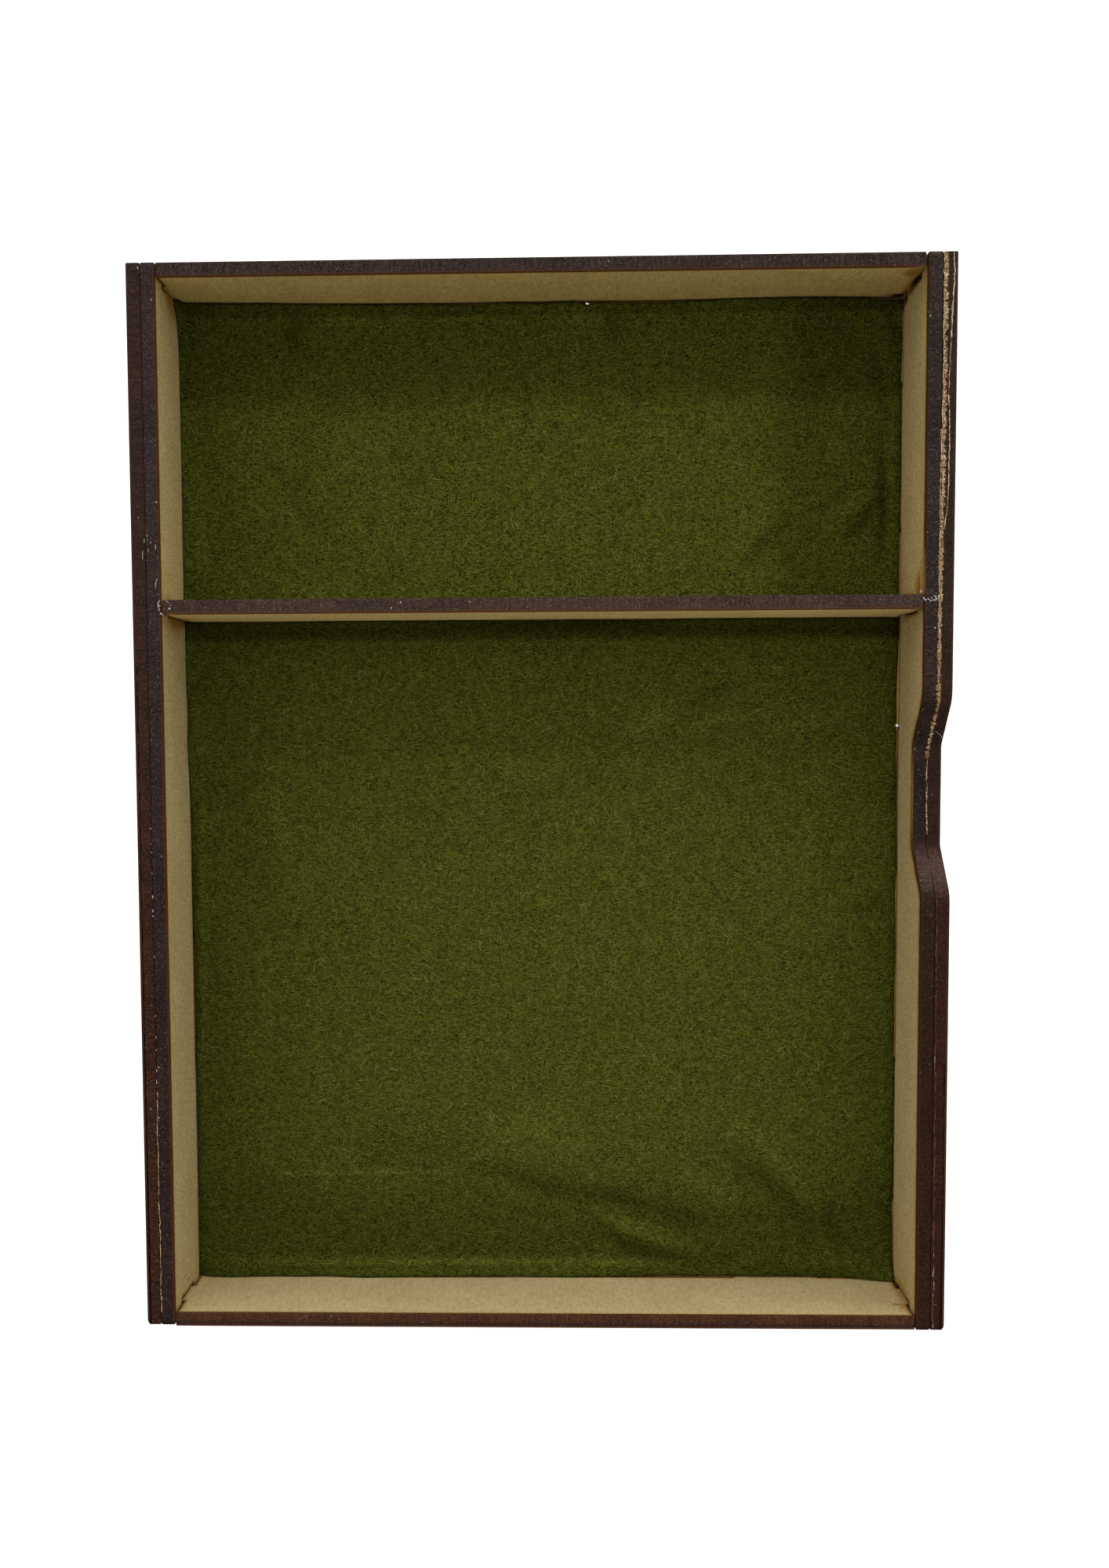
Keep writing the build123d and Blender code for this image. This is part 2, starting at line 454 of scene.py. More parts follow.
# Board finish. The cut attribute turns the face into char, and scorch tans it beside the cut.
def boardMaterial(name):
    look, finish = boardLook, boardFinish[name]
    material, tree, shader = newMaterial(name + "Fibreboard")
    place, cut, heat = objectPlace(tree), attribute(tree, "cut"), attribute(tree, "scorch")
    y = put(tree, "SeparateXYZ", {0: place}).outputs["Y"]
    behind = ramp(tree, y, finish["turns"] * mm, (finish["turns"] + 0.4) * mm)

    # The faces seen from above take the board's tone, which is painted light and shade, and beyond turns
    # its back's tone.
    def faceColour(shade):
        near, far = (tuple(a * b for a, b in zip(look[shade], finish[tone])) for tone in ("tone", "back"))
        return blendColour(tree, behind, near, far)

    def staining(spot):
        centre, radii = (tuple(v * mm for v in part) for part in (spot[:3], spot[3:6]))
        values = {"Object": place, "Centre": centre, "Radii": radii, "Strength": spot[6]}
        return put(tree, "Group", values, node_tree=stainAndShadeGroup).outputs["Mask"]

    face = put(tree, "Group", {
        "Object": place, "Light": faceColour("light"), "Dark": faceColour("dark"),
        "Fleck": look["fleck"] * finish["fleck"], "Grain": finish["fleck"],
    }, node_tree=faceGroup)
    rearward = ramp(tree, y, look["frontEnd"], look["rearEnd"])
    charred = blendColour(tree, rearward, finish["front"], finish["char"])
    for spot in finish["patches"]:
        charred = blendColour(tree, staining(spot), charred, look[spot[7]])
    frontAsh, rearAsh = finish["ash"]
    char = put(tree, "Group", {
        "UV": put(tree, "UVMap", uv_map="edgeUV").outputs[0], "Object": place, "Char": charred,
        "Ash": calc(tree, "MULTIPLY_ADD", rearward, rearAsh - frontAsh, frontAsh),
        "Streak": finish["streak"],
    }, node_tree=charGroup)
    reddened = times(tree, ramp(tree, heat, 0.1, 1.0), 0.7)
    charColour = blendColour(tree, reddened, char.outputs["Color"], finish["burn"])
    wander = calc(tree, "MULTIPLY_ADD", noise(tree, place, 260, 2, 0.6), 0.4, -0.2)
    warmth = calc(tree, "ADD", heat, times(tree, wander, ramp(tree, heat, 0.02, 0.3)))
    colour = blendColour(tree, ramp(tree, warmth, 0.03, 0.5), face.outputs["Color"], look["amber"])
    colour = blendColour(tree, ramp(tree, warmth, 0.35, 0.85), colour, finish["burn"])
    # each stain turns amber, and a strong one dark: laser smoke, and painted shade in corners and seams
    for spot in finish["stainsAndShade"]:
        mask = staining(spot)
        colour = blendColour(tree, ramp(tree, mask, 0.0, 0.62), colour, look["amber"])
        colour = blendColour(tree, ramp(tree, mask, 0.42, 0.95), colour, look["sootAndShade"])
    isCut = ramp(tree, cut, 0.3, 0.7)
    height = put(tree, "Mix", {
        0: isCut, 2: times(tree, face.outputs["Height"], look["faceBump"]),
        3: times(tree, char.outputs["Height"], look["charBump"]),
    }).outputs[0]
    setInputs(tree, shader, {
        "Base Color": blendColour(tree, isCut, colour, charColour),
        "Roughness": put(tree, "Mix", {0: isCut, 2: 0.78, 3: char.outputs["Roughness"]}).outputs[0],
        "Normal": put(tree, "Bump", {"Height": height, "Distance": 0.2 * mm, "Strength": 1.0}).outputs[0],
        "Specular IOR Level": 0.06,
    })
    return material


# Outline helpers. A corner is (u, v), or (u, v, radius) where it is round, and corners run
# anticlockwise.
def tabSpans(length, width, count):
    step = length / count
    middles = [(i - (count - 1) / 2) * step for i in range(count)]
    return [(m - width / 2, m + width / 2) for m in middles]


# Key points of a closed outline: its corners, and nine points of the corner's arc where it has one.
def roundedOutline(corners):
    places = np.array([c[:2] for c in corners])
    keys = []
    for i, (here, corner) in enumerate(zip(places, corners)):
        if len(corner) == 2:
            keys.append(here[None])
            continue
        radius = corner[2]
        back = places[i - 1] - here
        ahead = places[(i + 1) % len(corners)] - here
        back, ahead = back / np.linalg.norm(back), ahead / np.linalg.norm(ahead)
        half = math.acos(np.clip(back @ ahead, -1, 1)) / 2
        middle = here + (back + ahead) / np.linalg.norm(back + ahead) * radius / math.sin(half)
        start, end = here + back * radius / math.tan(half), here + ahead * radius / math.tan(half)
        a = math.atan2(*(start - middle)[::-1])
        turn = (math.atan2(*(end - middle)[::-1]) - a + math.pi) % (2 * math.pi) - math.pi
        t = a + turn * np.linspace(0, 1, 9)
        keys.append(middle + radius * np.stack([np.cos(t), np.sin(t)], 1))
    return np.concatenate(keys)


# Values between the key points: counts says how many steps each run is cut into.
def spread(values, counts):
    run = np.repeat(np.arange(len(counts)), counts)
    t = (np.arange(len(run)) - (np.cumsum(counts) - counts)[run]) / counts[run]
    t = t.reshape(-1, *[1] * (values.ndim - 1))
    return values[run] * (1 - t) + np.roll(values, -1, 0)[run] * t


# Loop moved into the material: each segment shifts along its left normal, and a corner goes where
# its two shifted segments cross.
def insetLoop(loop, distance):
    along = np.roll(loop, -1, 0) - loop
    along /= np.linalg.norm(along, axis=1)[:, None]
    normal = np.stack([-along[:, 1], along[:, 0]], 1)
    before, after = np.roll(normal, 1, 0), normal
    dBefore, dAfter = np.roll(distance, 1), distance
    cross = before[:, 0] * after[:, 1] - before[:, 1] * after[:, 0]
    straight = np.abs(cross) < 1e-3
    safe = np.where(straight, 1, cross)
    met = np.stack([after[:, 1] * dBefore - before[:, 1] * dAfter,
                    before[:, 0] * dAfter - after[:, 0] * dBefore], 1) / safe[:, None]
    return loop + np.where(straight[:, None], after * dAfter[:, None], met)


edge = {
    "arris": 0.3 * mm,  # radius that the flame leaves on a cut edge
    "holeArris": 0.08 * mm,
    "tanIn": 1.3 * mm,  # from the arris to the end of the tan, times the board's halo on its rim
    "rows": (0.12, 0.35, 0.65, 0.88),  # of the cut, in shares of the board's thickness
    "step": 1.0 * mm,
    "sunk": 0.02 * mm,  # the cut lies this far inside the outline, and up to waver more
    "waver": 0.04 * mm,
    "frontRound": 1.0 * mm,
}


# Rows of the board's edge profile: kind, value, cut and heat. A face row lies in from the arris by a
# share of the tan's reach, an arc row is at the angle value on it, and a cut row at a share of the cut.
def edgeRows():
    near = [("face", 1, 0, 0), ("face", 0.5, 0, 0.22), ("face", 0.2, 0, 0.55)]
    near += [("arc", math.pi / 8 * k, isCut, 1) for k, isCut in enumerate((0, 0, 0.1, 0.6, 1))]
    return near + [("cut", share, 1, 0) for share in edge["rows"]] + near[::-1]


# Reach of the tan from each run of an outline: it is longer along the rim and round the notch.
def tanReach(loop, after, halo, upright):
    low, rim = np.minimum(loop[:, 1], after[:, 1]), tray["rim"]
    inNotch = np.abs((loop[:, 0] + after[:, 0]) / 2 - notch["centre"]) < notch["mouth"] / 2 + notch["lip"]
    onTop = (low > rim - 0.1 * mm) | (inNotch & (low > rim - notch["depth"] - 0.1 * mm))
    onTop &= upright & (np.abs(after[:, 0] - loop[:, 0]) > 1e-6)
    return edge["tanIn"] * np.where(onTop, halo, min(halo, 1.0))


# Places in one row: how far in from the outline, and how far from the row's own face. On the arris
# of radius r they are r(1 - sin a) and r(1 - cos a).
def rowPlace(kind, value, r, other, reach):
    if kind == "face":
        return r + value * reach, r * 0
    if kind == "arc":
        return r * (1 - math.sin(value)), r * (1 - math.cos(value))
    return r * 0, r + value * (board - r - other)


# Board: its edge profile carried round the outline and round each hole, closed by two flat faces.
# The outline is seen from the side that the board faces, and warmAhead tells whether it is that side's
# arris that is burnt red. roundEnd is the radius of the upright edge between that side and the end at
# frontU.
def boardPiece(name, node, corners, holes, origin, uAxis, vAxis, warmAhead, seed, roundEnd=0.0, frontU=0.0):
    origin, uAxis, vAxis = (np.array(a, float) for a in (origin, uAxis, vAxis))
    facing = np.cross(uAxis, vAxis)
    rows = edgeRows()
    loops = [roundedOutline(corners)] + [roundedOutline(hole[::-1]) for hole in holes]
    points, quads, cut, heat, uvs = [], [], [], [], []
    rings, base = ([], []), 0
    for which, loop in enumerate(loops):
        after = np.roll(loop, -1, 0)
        lengths = np.linalg.norm(after - loop, axis=1)
        counts = np.maximum(1, np.ceil(lengths / edge["step"])).astype(int)
        n = counts.sum()
        along = np.cumsum(np.repeat(lengths / counts, counts))
        waver = edge["sunk"] + edge["waver"] * (softNoise(along, along * 0, 2.5 * mm, seed) + 0.5)
        mitre = spread(insetLoop(loop, np.ones(len(loop))) - loop, counts)
        back = np.full(len(loop), edge["holeArris"] if which else edge["arris"])
        atEnd = (np.abs(loop[:, 0] - frontU) < 1e-6) & (np.abs(after[:, 0] - frontU) < 1e-6)
        front = np.where(atEnd & (roundEnd > 0), roundEnd, back)
        reach = tanReach(loop, after, boardFinish[name]["halo"], vAxis[2] > 0.5)
        for k, (kind, value, isCut, isHot) in enumerate(rows):
            ahead = k >= len(rows) / 2
            if kind == "arc" and ahead != warmAhead:
                isCut, isHot = 1, 0
            r, other = (front, back) if ahead else (back, front)
            inward, across = rowPlace(kind, value, r, other, reach)
            across = spread(np.maximum(across, np.roll(across, 1)), counts)
            flat = spread(insetLoop(loop, inward), counts)
            inward = np.repeat(inward, counts)
            if kind != "face":
                flat = flat + waver[:, None] * mitre
            depth = board - across if ahead and kind != "cut" else across
            points.append(origin + flat[:, :1] * uAxis + flat[:, 1:] * vAxis + depth[:, None] * facing)
            cut.append(np.full(n, isCut))
            heat.append(np.full(n, isHot))
            uvs.append(np.stack([along, inward + depth], 1))
            low = base + k * n
            if k in (0, len(rows) - 1):
                rings[k > 0].append((flat, low + np.arange(n)))
            if k < len(rows) - 1:
                i, j = low + np.arange(n), low + np.roll(np.arange(n), -1)
                quads.append(np.stack([i, j, n + j, n + i], 1))
        base += n * len(rows)
    caps = [capFaces(rings[0])[:, ::-1], capFaces(rings[1])]
    piece = meshPiece(name + "Board", np.concatenate(points), quads + caps)
    pointValues(piece, "cut", np.concatenate(cut))
    pointValues(piece, "scorch", np.concatenate(heat))
    corner = np.zeros(len(piece.data.loops), np.int32)
    piece.data.loops.foreach_get("vertex_index", corner)
    uvLayer = piece.data.uv_layers.new(name="edgeUV")
    uvLayer.data.foreach_set("uv", np.concatenate(uvs)[corner].astype(np.float32).ravel())
    rounded = np.arange(len(piece.data.polygons)) < sum(len(q) for q in quads)
    piece.data.polygons.foreach_set("use_smooth", rounded)
    return dress(piece, boardMaterial(name), "fibreboard", node)


# Flat face between the outline's ring and the rings of its holes, as anticlockwise triangles.
def capFaces(rings):
    flat = np.concatenate([r[0] for r in rings])
    index = np.concatenate([r[1] for r in rings])
    owner = np.concatenate([np.full(len(r[0]), i) for i, r in enumerate(rings)])
    edges, start = [], 0
    for places, _ in rings:
        n = len(places)
        edges += [(start + i, start + (i + 1) % n) for i in range(n)]
        start += n
    found = delaunay_2d_cdt([Vector(p) for p in flat / mm], edges, [], 1, 1e-6)
    origins = np.array([o[0] for o in found[3]])
    triangles = origins[np.array([list(f) for f in found[2]])]
    owners = owner[triangles]
    inHole = (owners[:, 0] > 0) & (owners == owners[:, :1]).all(1)
    triangles = triangles[~inHole]
    a, b, c = (flat[triangles[:, q]] for q in range(3))
    turned = (b - a)[:, 0] * (c - a)[:, 1] - (b - a)[:, 1] * (c - a)[:, 0] < 0
    triangles[turned] = triangles[turned][:, ::-1]
    return index[triangles]


# Bottom edge from low to high u: at the floor's level, and down to the ground at each foot.
def footedEdge(low, high, spans):
    floor = tray["floor"]
    feet = [corner for a, b in spans for corner in ((a, floor), (a, 0), (b, 0), (b, floor))]
    return [(low, floor)] + feet + [(high, floor)]


def rectangle(left, bottom, right, top):
    return [(left, bottom), (right, bottom), (right, top), (left, top)]


def mirrored(corners):
    return [(-u, v, *radius) for u, v, *radius in corners[::-1]]


def notchCorners():
    mouth, run = notch["mouth"] / 2, notch["depth"]
    rim, bottom, centre = tray["rim"], tray["rim"] - notch["depth"], notch["centre"]
    return [(centre + mouth, rim, notch["lip"]), (centre + mouth - run, bottom, notch["foot"]),
            (centre - mouth + run, bottom, notch["foot"]), (centre - mouth, rim, notch["lip"])]


def innerSideOutline(notched, front):
    end, rim, gap = tray["end"], tray["rim"], joint["gap"]
    inside, low, high = tray["endInner"] - joint["kerf"], tabLow - gap, tabHigh + gap
    corners = footedEdge(front, end, tabSpans(2 * end, joint["sideFoot"], joint["sideFeet"]))
    corners += [(end, low), (inside, low), (inside, high), (end, high), (end, rim)]
    corners += notchCorners() if notched else []
    corners += [(front, rim), (front, high), (-inside, high), (-inside, low), (front, low)]
    return corners, [rectangle(tray["dividerFront"] - gap, low, tray["dividerRear"] + gap, high)]


def outerSideOutline(notched, front):
    end, rim = tray["end"], tray["rim"]
    return [(front, 0), (end, 0), (end, rim)] + (notchCorners() if notched else []) + [(front, rim)]


# Outline of an end wall or of the divider: feet, and a tab at each end through the inner side board.
def crossOutline(foot, feet, leftGap, rightGap):
    cover, rim = tray["cover"], tray["rim"]
    left, right = leftGap * mm - tray["inner"], tray["inner"] - rightGap * mm
    corners = footedEdge(left, right, tabSpans(2 * tray["inner"], foot, feet))
    return corners + [(right, tabLow), (cover, tabLow), (cover, tabHigh), (right, tabHigh), (right, rim),
                      (left, rim), (left, tabHigh), (-cover, tabHigh), (-cover, tabLow), (left, tabLow)]


# Two places where the cut of the base board ran past the corner of a foot and daylight shows.
overcut = {
    "rear": 0.55 * mm,  # width along the wall
    "right": 0.4 * mm,
    "inward": 0.45 * mm,  # from the wall's face into the base board
    "outward": 0.5 * mm,
    "near": 0.1 * mm,  # by which it starts before the corner
}


# Base board seen from above: it runs out to the cover boards and steps in at every foot.
def baseOutline():
    cover, end, inner, inside = (tray[key] for key in ("cover", "end", "inner", "endInner"))
    gap = joint["gap"]
    endSpans = tabSpans(2 * inner, joint["endFoot"], joint["endFeet"])
    sideSpans = tabSpans(2 * end, joint["sideFoot"], joint["sideFeet"])
    front, right = [(-cover, -end)], [(cover, -end)]
    for a, b in endSpans:
        front += [(a - gap, -end), (a - gap, gap - inside), (b + gap, gap - inside), (b + gap, -end)]
    for a, b in sideSpans:
        right += [(cover, a - gap), (inner - gap, a - gap), (inner - gap, b + gap), (cover, b + gap)]
    turned = [(-u, -v) for u, v in front + right]
    # the overcuts are at the middle foot of the right-hand and the rear side
    near, deep, out = overcut["near"], overcut["inward"], overcut["outward"]
    low, high = sideSpans[1][1] + gap, sideSpans[1][1] + gap + overcut["right"]
    right[7:8] = [(inner - gap, low - near), (inner - deep, low - near), (inner - deep, high),
                  (inner + out, high), (inner + out, low)]
    low, high = -endSpans[1][0] + gap, -endSpans[1][0] + gap + overcut["rear"]
    turned[6:7] = [(low, inside + out), (high, inside + out), (high, inside - deep),
                   (low - near, inside - deep), (low - near, inside - gap)]
    low, high = tray["dividerFront"] - gap, tray["dividerRear"] + gap
    spans = tabSpans(2 * inner, joint["dividerFoot"], joint["dividerFeet"])
    return front + right + turned, [rectangle(a - gap, low, b + gap, high) for a, b in spans]


# Each wall across the tray: its rear face's y, its seed, its feet, and the gaps at its left and its right
# end in millimetres.
crossWalls = {
    "rear": (tray["end"], 4, joint["endFoot"], joint["endFeet"], 0.12, 0.36),
    "front": (-tray["endInner"], 5, joint["endFoot"], joint["endFeet"], 0.08, 0.16),
    "divider": (tray["dividerRear"], 7, joint["dividerFoot"], joint["dividerFeet"], 0.26, 0.16),
}


def buildBoards():
    x, y, z = (1, 0, 0), (0, 1, 0), (0, 0, 1)
    # the right-hand boards face +X, and the left-hand ones are the same drawn from -X
    for side, sign in (("right", 1), ("left", -1)):
        front = -tray["end"] + (joint["short"] if sign < 0 else 0)
        corners, holes = innerSideOutline(sign > 0, front)
        cover = outerSideOutline(sign > 0, front)
        if sign < 0:
            corners, cover, holes = mirrored(corners), mirrored(cover), [mirrored(hole) for hole in holes]
        boardPiece(side + "Inner", side + "_inner_wall", corners, holes, (sign * tray["inner"], 0, 0),
                   (0, sign, 0), z, False, 3 + sign)
        boardPiece(side + "Cover", side + "_outer_wall", cover, [], (sign * tray["cover"], 0, 0),
                   (0, sign, 0), z, True, 7 + sign, edge["frontRound"], sign * front)
    for name, (rearFace, seed, *feet) in crossWalls.items():
        node = name if name == "divider" else name + "_wall"
        boardPiece(name, node, crossOutline(*feet), [], (0, rearFace, 0), x, z, True, seed)
    corners, mortises = baseOutline()
    boardPiece("base", "base_board", corners, mortises, (0, 0, 0), x, y, True, 29)
    print("boards built")


buildBoards()


feltLook = {
    "cell": 0.6 * mm,  # spacing of the sheet's grid
    "waves": ((0.35 * mm, 19 * mm), (0.14 * mm, 6 * mm), (0.07 * mm, 1.1 * mm)),  # height and size of each
    "waver": (0.3 * mm, 7 * mm),  # of its edges
    "sink": 1.2 * mm,  # the most that an edge is pressed down
    "thinnest": 0.2 * mm,
}
feltPattern = {
    "drifts": 90,
    "tufts": 420,
    "grain": 1500,
    "strands": (900, 3600, 1),
    "turns": ((0.2, 0.0), (1.0, 3.1), (1.8, 7.7), (2.6, 11.3)),  # of the strands, each with its shift
    "wobble": (1900, 0.6 * mm),  # scale and reach of what bends the pits
    "pits": 1500,
    "base": (0.0540, 0.0620, 0.0046),
    "strand": (0.134, 0.148, 0.023),
    "pit": (0.008, 0.009, 0.001),
}


# Felt: a fine grain of fibre ends over slow drifts, with dark needle pits and paler strands every way, all
# multiplied by the painted shade that is given to it.
def makeFeltGroup():
    look = feltPattern
    tree, given, out = shaderGroup(
        "needledFelt",
        {"Object": "Vector", "Pits": "Float", "PaintedShade": "Float"},
        {"Color": "Color", "Height": "Float"},
    )
    place = given["Object"]
    drifts = noise(tree, place, look["drifts"], 2, 0.6, 0.6)
    tufts = noise(tree, place, look["tufts"], 2, 0.6, 0.5)
    grain = noise(tree, place, look["grain"], 3, 0.85)
    strands = None
    for turn, shift in look["turns"]:
        moved = vectorMath(tree, "ADD", place, (shift, shift, 0))
        lines = noise(tree, stretched(tree, moved, look["strands"], turn), 1, 1, 0.5, 0.6)
        lines = ramp(tree, lines, 0.55, 0.70)
        strands = calc(tree, "MAXIMUM", strands, lines) if strands else lines
    scale, reach = look["wobble"]
    wobble = put(tree, "TexNoise", {"Vector": place, "Scale": scale, "Detail": 1}).outputs["Color"]
    bent = put(tree, "VectorMath", {0: wobble, 1: (reach,) * 3, 2: place},
               operation="MULTIPLY_ADD").outputs[0]
    cells = put(tree, "TexVoronoi", {"Vector": bent, "Scale": look["pits"], "Randomness": 1.0},
                voronoi_dimensions="2D")
    size = calc(tree, "MULTIPLY_ADD", cellValue(tree, cells), 0.55, -0.08)
    away = calc(tree, "DIVIDE", cells.outputs["Distance"], calc(tree, "MAXIMUM", size, 0.02))
    pits = ramp(tree, calc(tree, "SUBTRACT", 1.0, away, clamp=True), 0.0, 0.8)
    pits = times(tree, pits, given["Pits"])
    tone = swing(tree, drifts, 0.2, 0.8, 0.20, 0.90)
    tone = times(tree, tone, swing(tree, tufts, 0.25, 0.75, 0.50, 0.75))
    tone = times(tree, tone, swing(tree, grain, 0.3, 0.7, 1.3, 0.35))
    base = shaded(tree, look["base"], tone)
    base = blendColour(tree, times(tree, strands, 0.8), base, look["strand"])
    base = blendColour(tree, pits, base, look["pit"])
    setInputs(tree, out, {
        # the colour is multiplied by the given painted shade
        "Color": shaded(tree, base, given["PaintedShade"]),
        "Height": calc(tree, "SUBTRACT", calc(tree, "ADD", strands, grain), times(tree, pits, 1.2)),
    })
    return tree


feltGroup = makeFeltGroup()


def feltMaterial(name, pits):
    material, tree, shader = newMaterial(name)
    # the felt's shade attribute is its painted shade
    values = {"Object": objectPlace(tree), "Pits": pits, "PaintedShade": attribute(tree, "shade")}
    felt = put(tree, "Group", values, node_tree=feltGroup).outputs
    bump = put(tree, "Bump", {"Height": felt["Height"], "Distance": 0.4 * mm, "Strength": 0.7}).outputs[0]
    setInputs(tree, shader, {"Base Color": felt["Color"], "Normal": bump, "Roughness": 1.0,
                             "Specular IOR Level": 0.02})
    return material


# Distance from points to a line of straight runs, and how far along it they lie, from 0 to 1.
def lineDistance(x, y, line):
    line = np.array(line, float)
    lengths = np.linalg.norm(np.diff(line, axis=0), axis=1)
    starts = np.cumsum(lengths) - lengths
    best, along = np.full(np.shape(x), 1e9), np.zeros(np.shape(x))
    for (ax, ay), (bx, by), start, length in zip(line[:-1], line[1:], starts, lengths):
        t = np.clip(((x - ax) * (bx - ax) + (y - ay) * (by - ay)) / length**2, 0, 1)
        away = np.hypot(x - ax - t * (bx - ax), y - ay - t * (by - ay))
        along = np.where(away < best, (start + t * length) / lengths.sum(), along)
        best = np.minimum(best, away)
    return best, along


# Folds of the felts in millimetres: the line that each follows, its half width, how far it stands above
# or below the sheet, and how much paler or darker it is painted. On a fold that stands up or sinks this is
# painted light and shade, the two flat lines along the divider are its painted shadow, and the other flat
# lines are paler or darker patches of the felt.
frontFolds = [
    ([(-17.9, -80.7), (-6.3, -84.8), (2.8, -87.7), (15.2, -89.2), (23.3, -91.7), (31.1, -94),
      (42.7, -96.3)], 2.3, -1, -0.3),
    ([(11.5, -91.7), (15.7, -94.4), (22, -97.1), (27.8, -98.6), (35.2, -101.3)], 2, 1.7, 0.52),
    ([(12.2, -94.1), (15.4, -97.6), (19.1, -101.4), (27.8, -103.7), (34.6, -104.5),
      (45.1, -102.9)], 1.6, -0.8, -0.36),
    ([(33.5, -76), (41.5, -80.1), (48.2, -84.2), (53.9, -89.3), (58.5, -95.1),
      (61.9, -101.4)], 2.2, -1, -0.28),
    ([(64.2, -89.1), (63.5, -94.8), (66.9, -98.3), (65.9, -104.6)], 1.2, -0.6, -0.3),
    ([(43.2, -71.8), (49.3, -77.4), (55.1, -82.4), (60, -91.2)], 2.8, 1.2, 0.22),
    ([(28.5, -82.1), (32.8, -84.7), (40.4, -89.7), (45.1, -93)], 2.8, 0.9, 0.24),
    ([(-14.3, -73.6), (1.4, -74.7), (17.1, -76.2)], 5, 0.4, 0.12),
    ([(-44.3, -79), (-28.4, -77.6), (-12.6, -77.5)], 5, 0, -0.16),
    ([(-61.1, -84.1), (-42.6, -83.5), (-26.7, -83.3), (-14.4, -83.1)], 0.5, 0.3, 0.45),
    ([(-77, -104.1), (-34, -104), (1.3, -103.9), (48, -103.9)], 1.1, 0.6, 0.8),
    ([(-72, -106), (-34, -105.9), (1.3, -105.8), (62, -105.9)], 1, 0, 0.5),
    # these two flat lines are the divider's shadow, painted onto the front felt
    ([(-22, 38.4), (32, 38.4)], 1.3, 0, -0.4), ([(-80, 36.4), (80, 36.4)], 4.2, 0, -0.17),
    ([(54, -102.5), (68, -103), (78, -104.5)], 3, 0, 0.26), ([(-78, -96), (-77, -105)], 2, 0, 0.2),
    ([(-59.7, 8), (-59, -1.6), (-56, -12.9)], 1.6, 0.3, 0.2),
    ([(-67.5, 10.6), (-66.3, -1.5), (-64.4, -12)], 3.5, -0.3, -0.1),
    ([(18, 12.7), (24, 17.3), (30.5, 22.4)], 1.5, 0.5, 0.26),
    ([(29.5, 13.5), (36, 16.9), (43.7, 19.9)], 1.5, 0.5, 0.22),
    ([(32.6, 20.7), (38.5, 23.7), (45.4, 25)], 1.6, -0.5, -0.2),
    ([(47.6, 13.7), (54.8, 15.8), (61.6, 16.7)], 1.5, 0.4, 0.18),
    ([(36.9, 10), (38, 20.3), (38.5, 25.7)], 2.4, 0, -0.1),
    ([(-32.9, 0.9), (-26, -5.2), (-16.5, -12.5)], 4, -0.3, -0.12),
    ([(-70.4, -8.5), (-64.4, -14.6), (-59.3, -20.7)], 4, -0.3, -0.1),
    ([(-11.2, 6), (-4.3, 6.8), (4.3, 5.7)], 3, 0.3, 0.14),
    ([(-6.9, -0.1), (-3.1, 1), (1.7, 0.2)], 2, 0, -0.14),
    ([(66.2, -22.4), (70.1, -20.7), (74.2, -17.6)], 1.4, 0.4, 0.22),
    ([(67.9, -25.4), (72.2, -24.2), (75.9, -21.1)], 1.5, -0.4, -0.2),
    ([(3.6, -44.5), (6.4, -50.6), (9.3, -56.8)], 2.6, 0, -0.1),
    ([(-61.4, 11.9), (1.7, 12.6), (71.8, 13.3)], 2.6, 0, -0.07),
    ([(-75.6, 24.4), (-75.1, 12.4), (-75.9, -13.7), (-76.6, -84.5), (-76.1, -100.6)], 1.1, 0.5, 0.22),
]
rearFolds = [
    ([(72.4, 80.5), (73.7, 70.6), (74.1, 60.6), (73.6, 49)], 1.2, -0.8, -0.46),
    ([(68.5, 103.5), (69.7, 99.6), (70.6, 94)], 2, 0.2, 0.3),
    ([(43, 50), (48, 56), (54, 62.4)], 1.5, 0, -0.32), ([(75.5, 105.5), (75.8, 97)], 1, -0.2, -0.3),
    ([(64.6, 96.6), (60, 90), (57.5, 82.2)], 1.2, 0, -0.14),
    ([(64.6, 56.5), (69, 60), (75, 68)], 1.3, 0, -0.26), ([(-74.5, 78), (-74, 46)], 2, 0, 0.2),
    ([(-58, 46.5), (-46, 45.5)], 1.4, 0, 0.22), ([(-63, 79), (-50, 62), (-34, 49)], 1.5, 0, -0.11),
    ([(4, 103.5), (14, 103)], 2.6, 0, 0.24), ([(-50, 104), (-28, 103.6)], 2.2, 0, 0.18),
    ([(69.6, 100.5), (73.7, 90.5), (74.4, 83.9), (73.8, 77.2)], 1.5, -0.6, -0.22),
    ([(61.2, 57.3), (65.6, 61.5), (70.9, 67.6)], 1.3, 0.5, 0.36),
    ([(65, 55.6), (68.8, 58.6), (71.7, 61.4)], 1.5, -0.4, -0.24),
    ([(59.5, 62), (63.2, 64.7), (67, 69)], 1.4, -0.3, -0.14),
    ([(62.4, 79.9), (63.1, 77.4), (64.5, 72.3)], 2, 0.2, 0.14),
    ([(-52.2, 105), (-53.1, 100.4), (-54.1, 95.7)], 2.2, -0.4, -0.3),
    ([(16.2, 105.8), (15.9, 102), (15.2, 98.5)], 2.6, -0.3, -0.24),
    ([(-53.6, 71.9), (-50.8, 63.4), (-47.8, 56.6)], 3, -0.2, -0.12),
    ([(-32.1, 78.4), (-27, 71.6), (-25.4, 64.9)], 2.5, 0, -0.12),
    ([(-45.8, 73.5), (-42.3, 78.5), (-40.7, 71.8)], 4, 0.2, 0.12),
    ([(-74.4, 106.5), (2.1, 106), (74.2, 105.7)], 1, 0, 0.2),
]
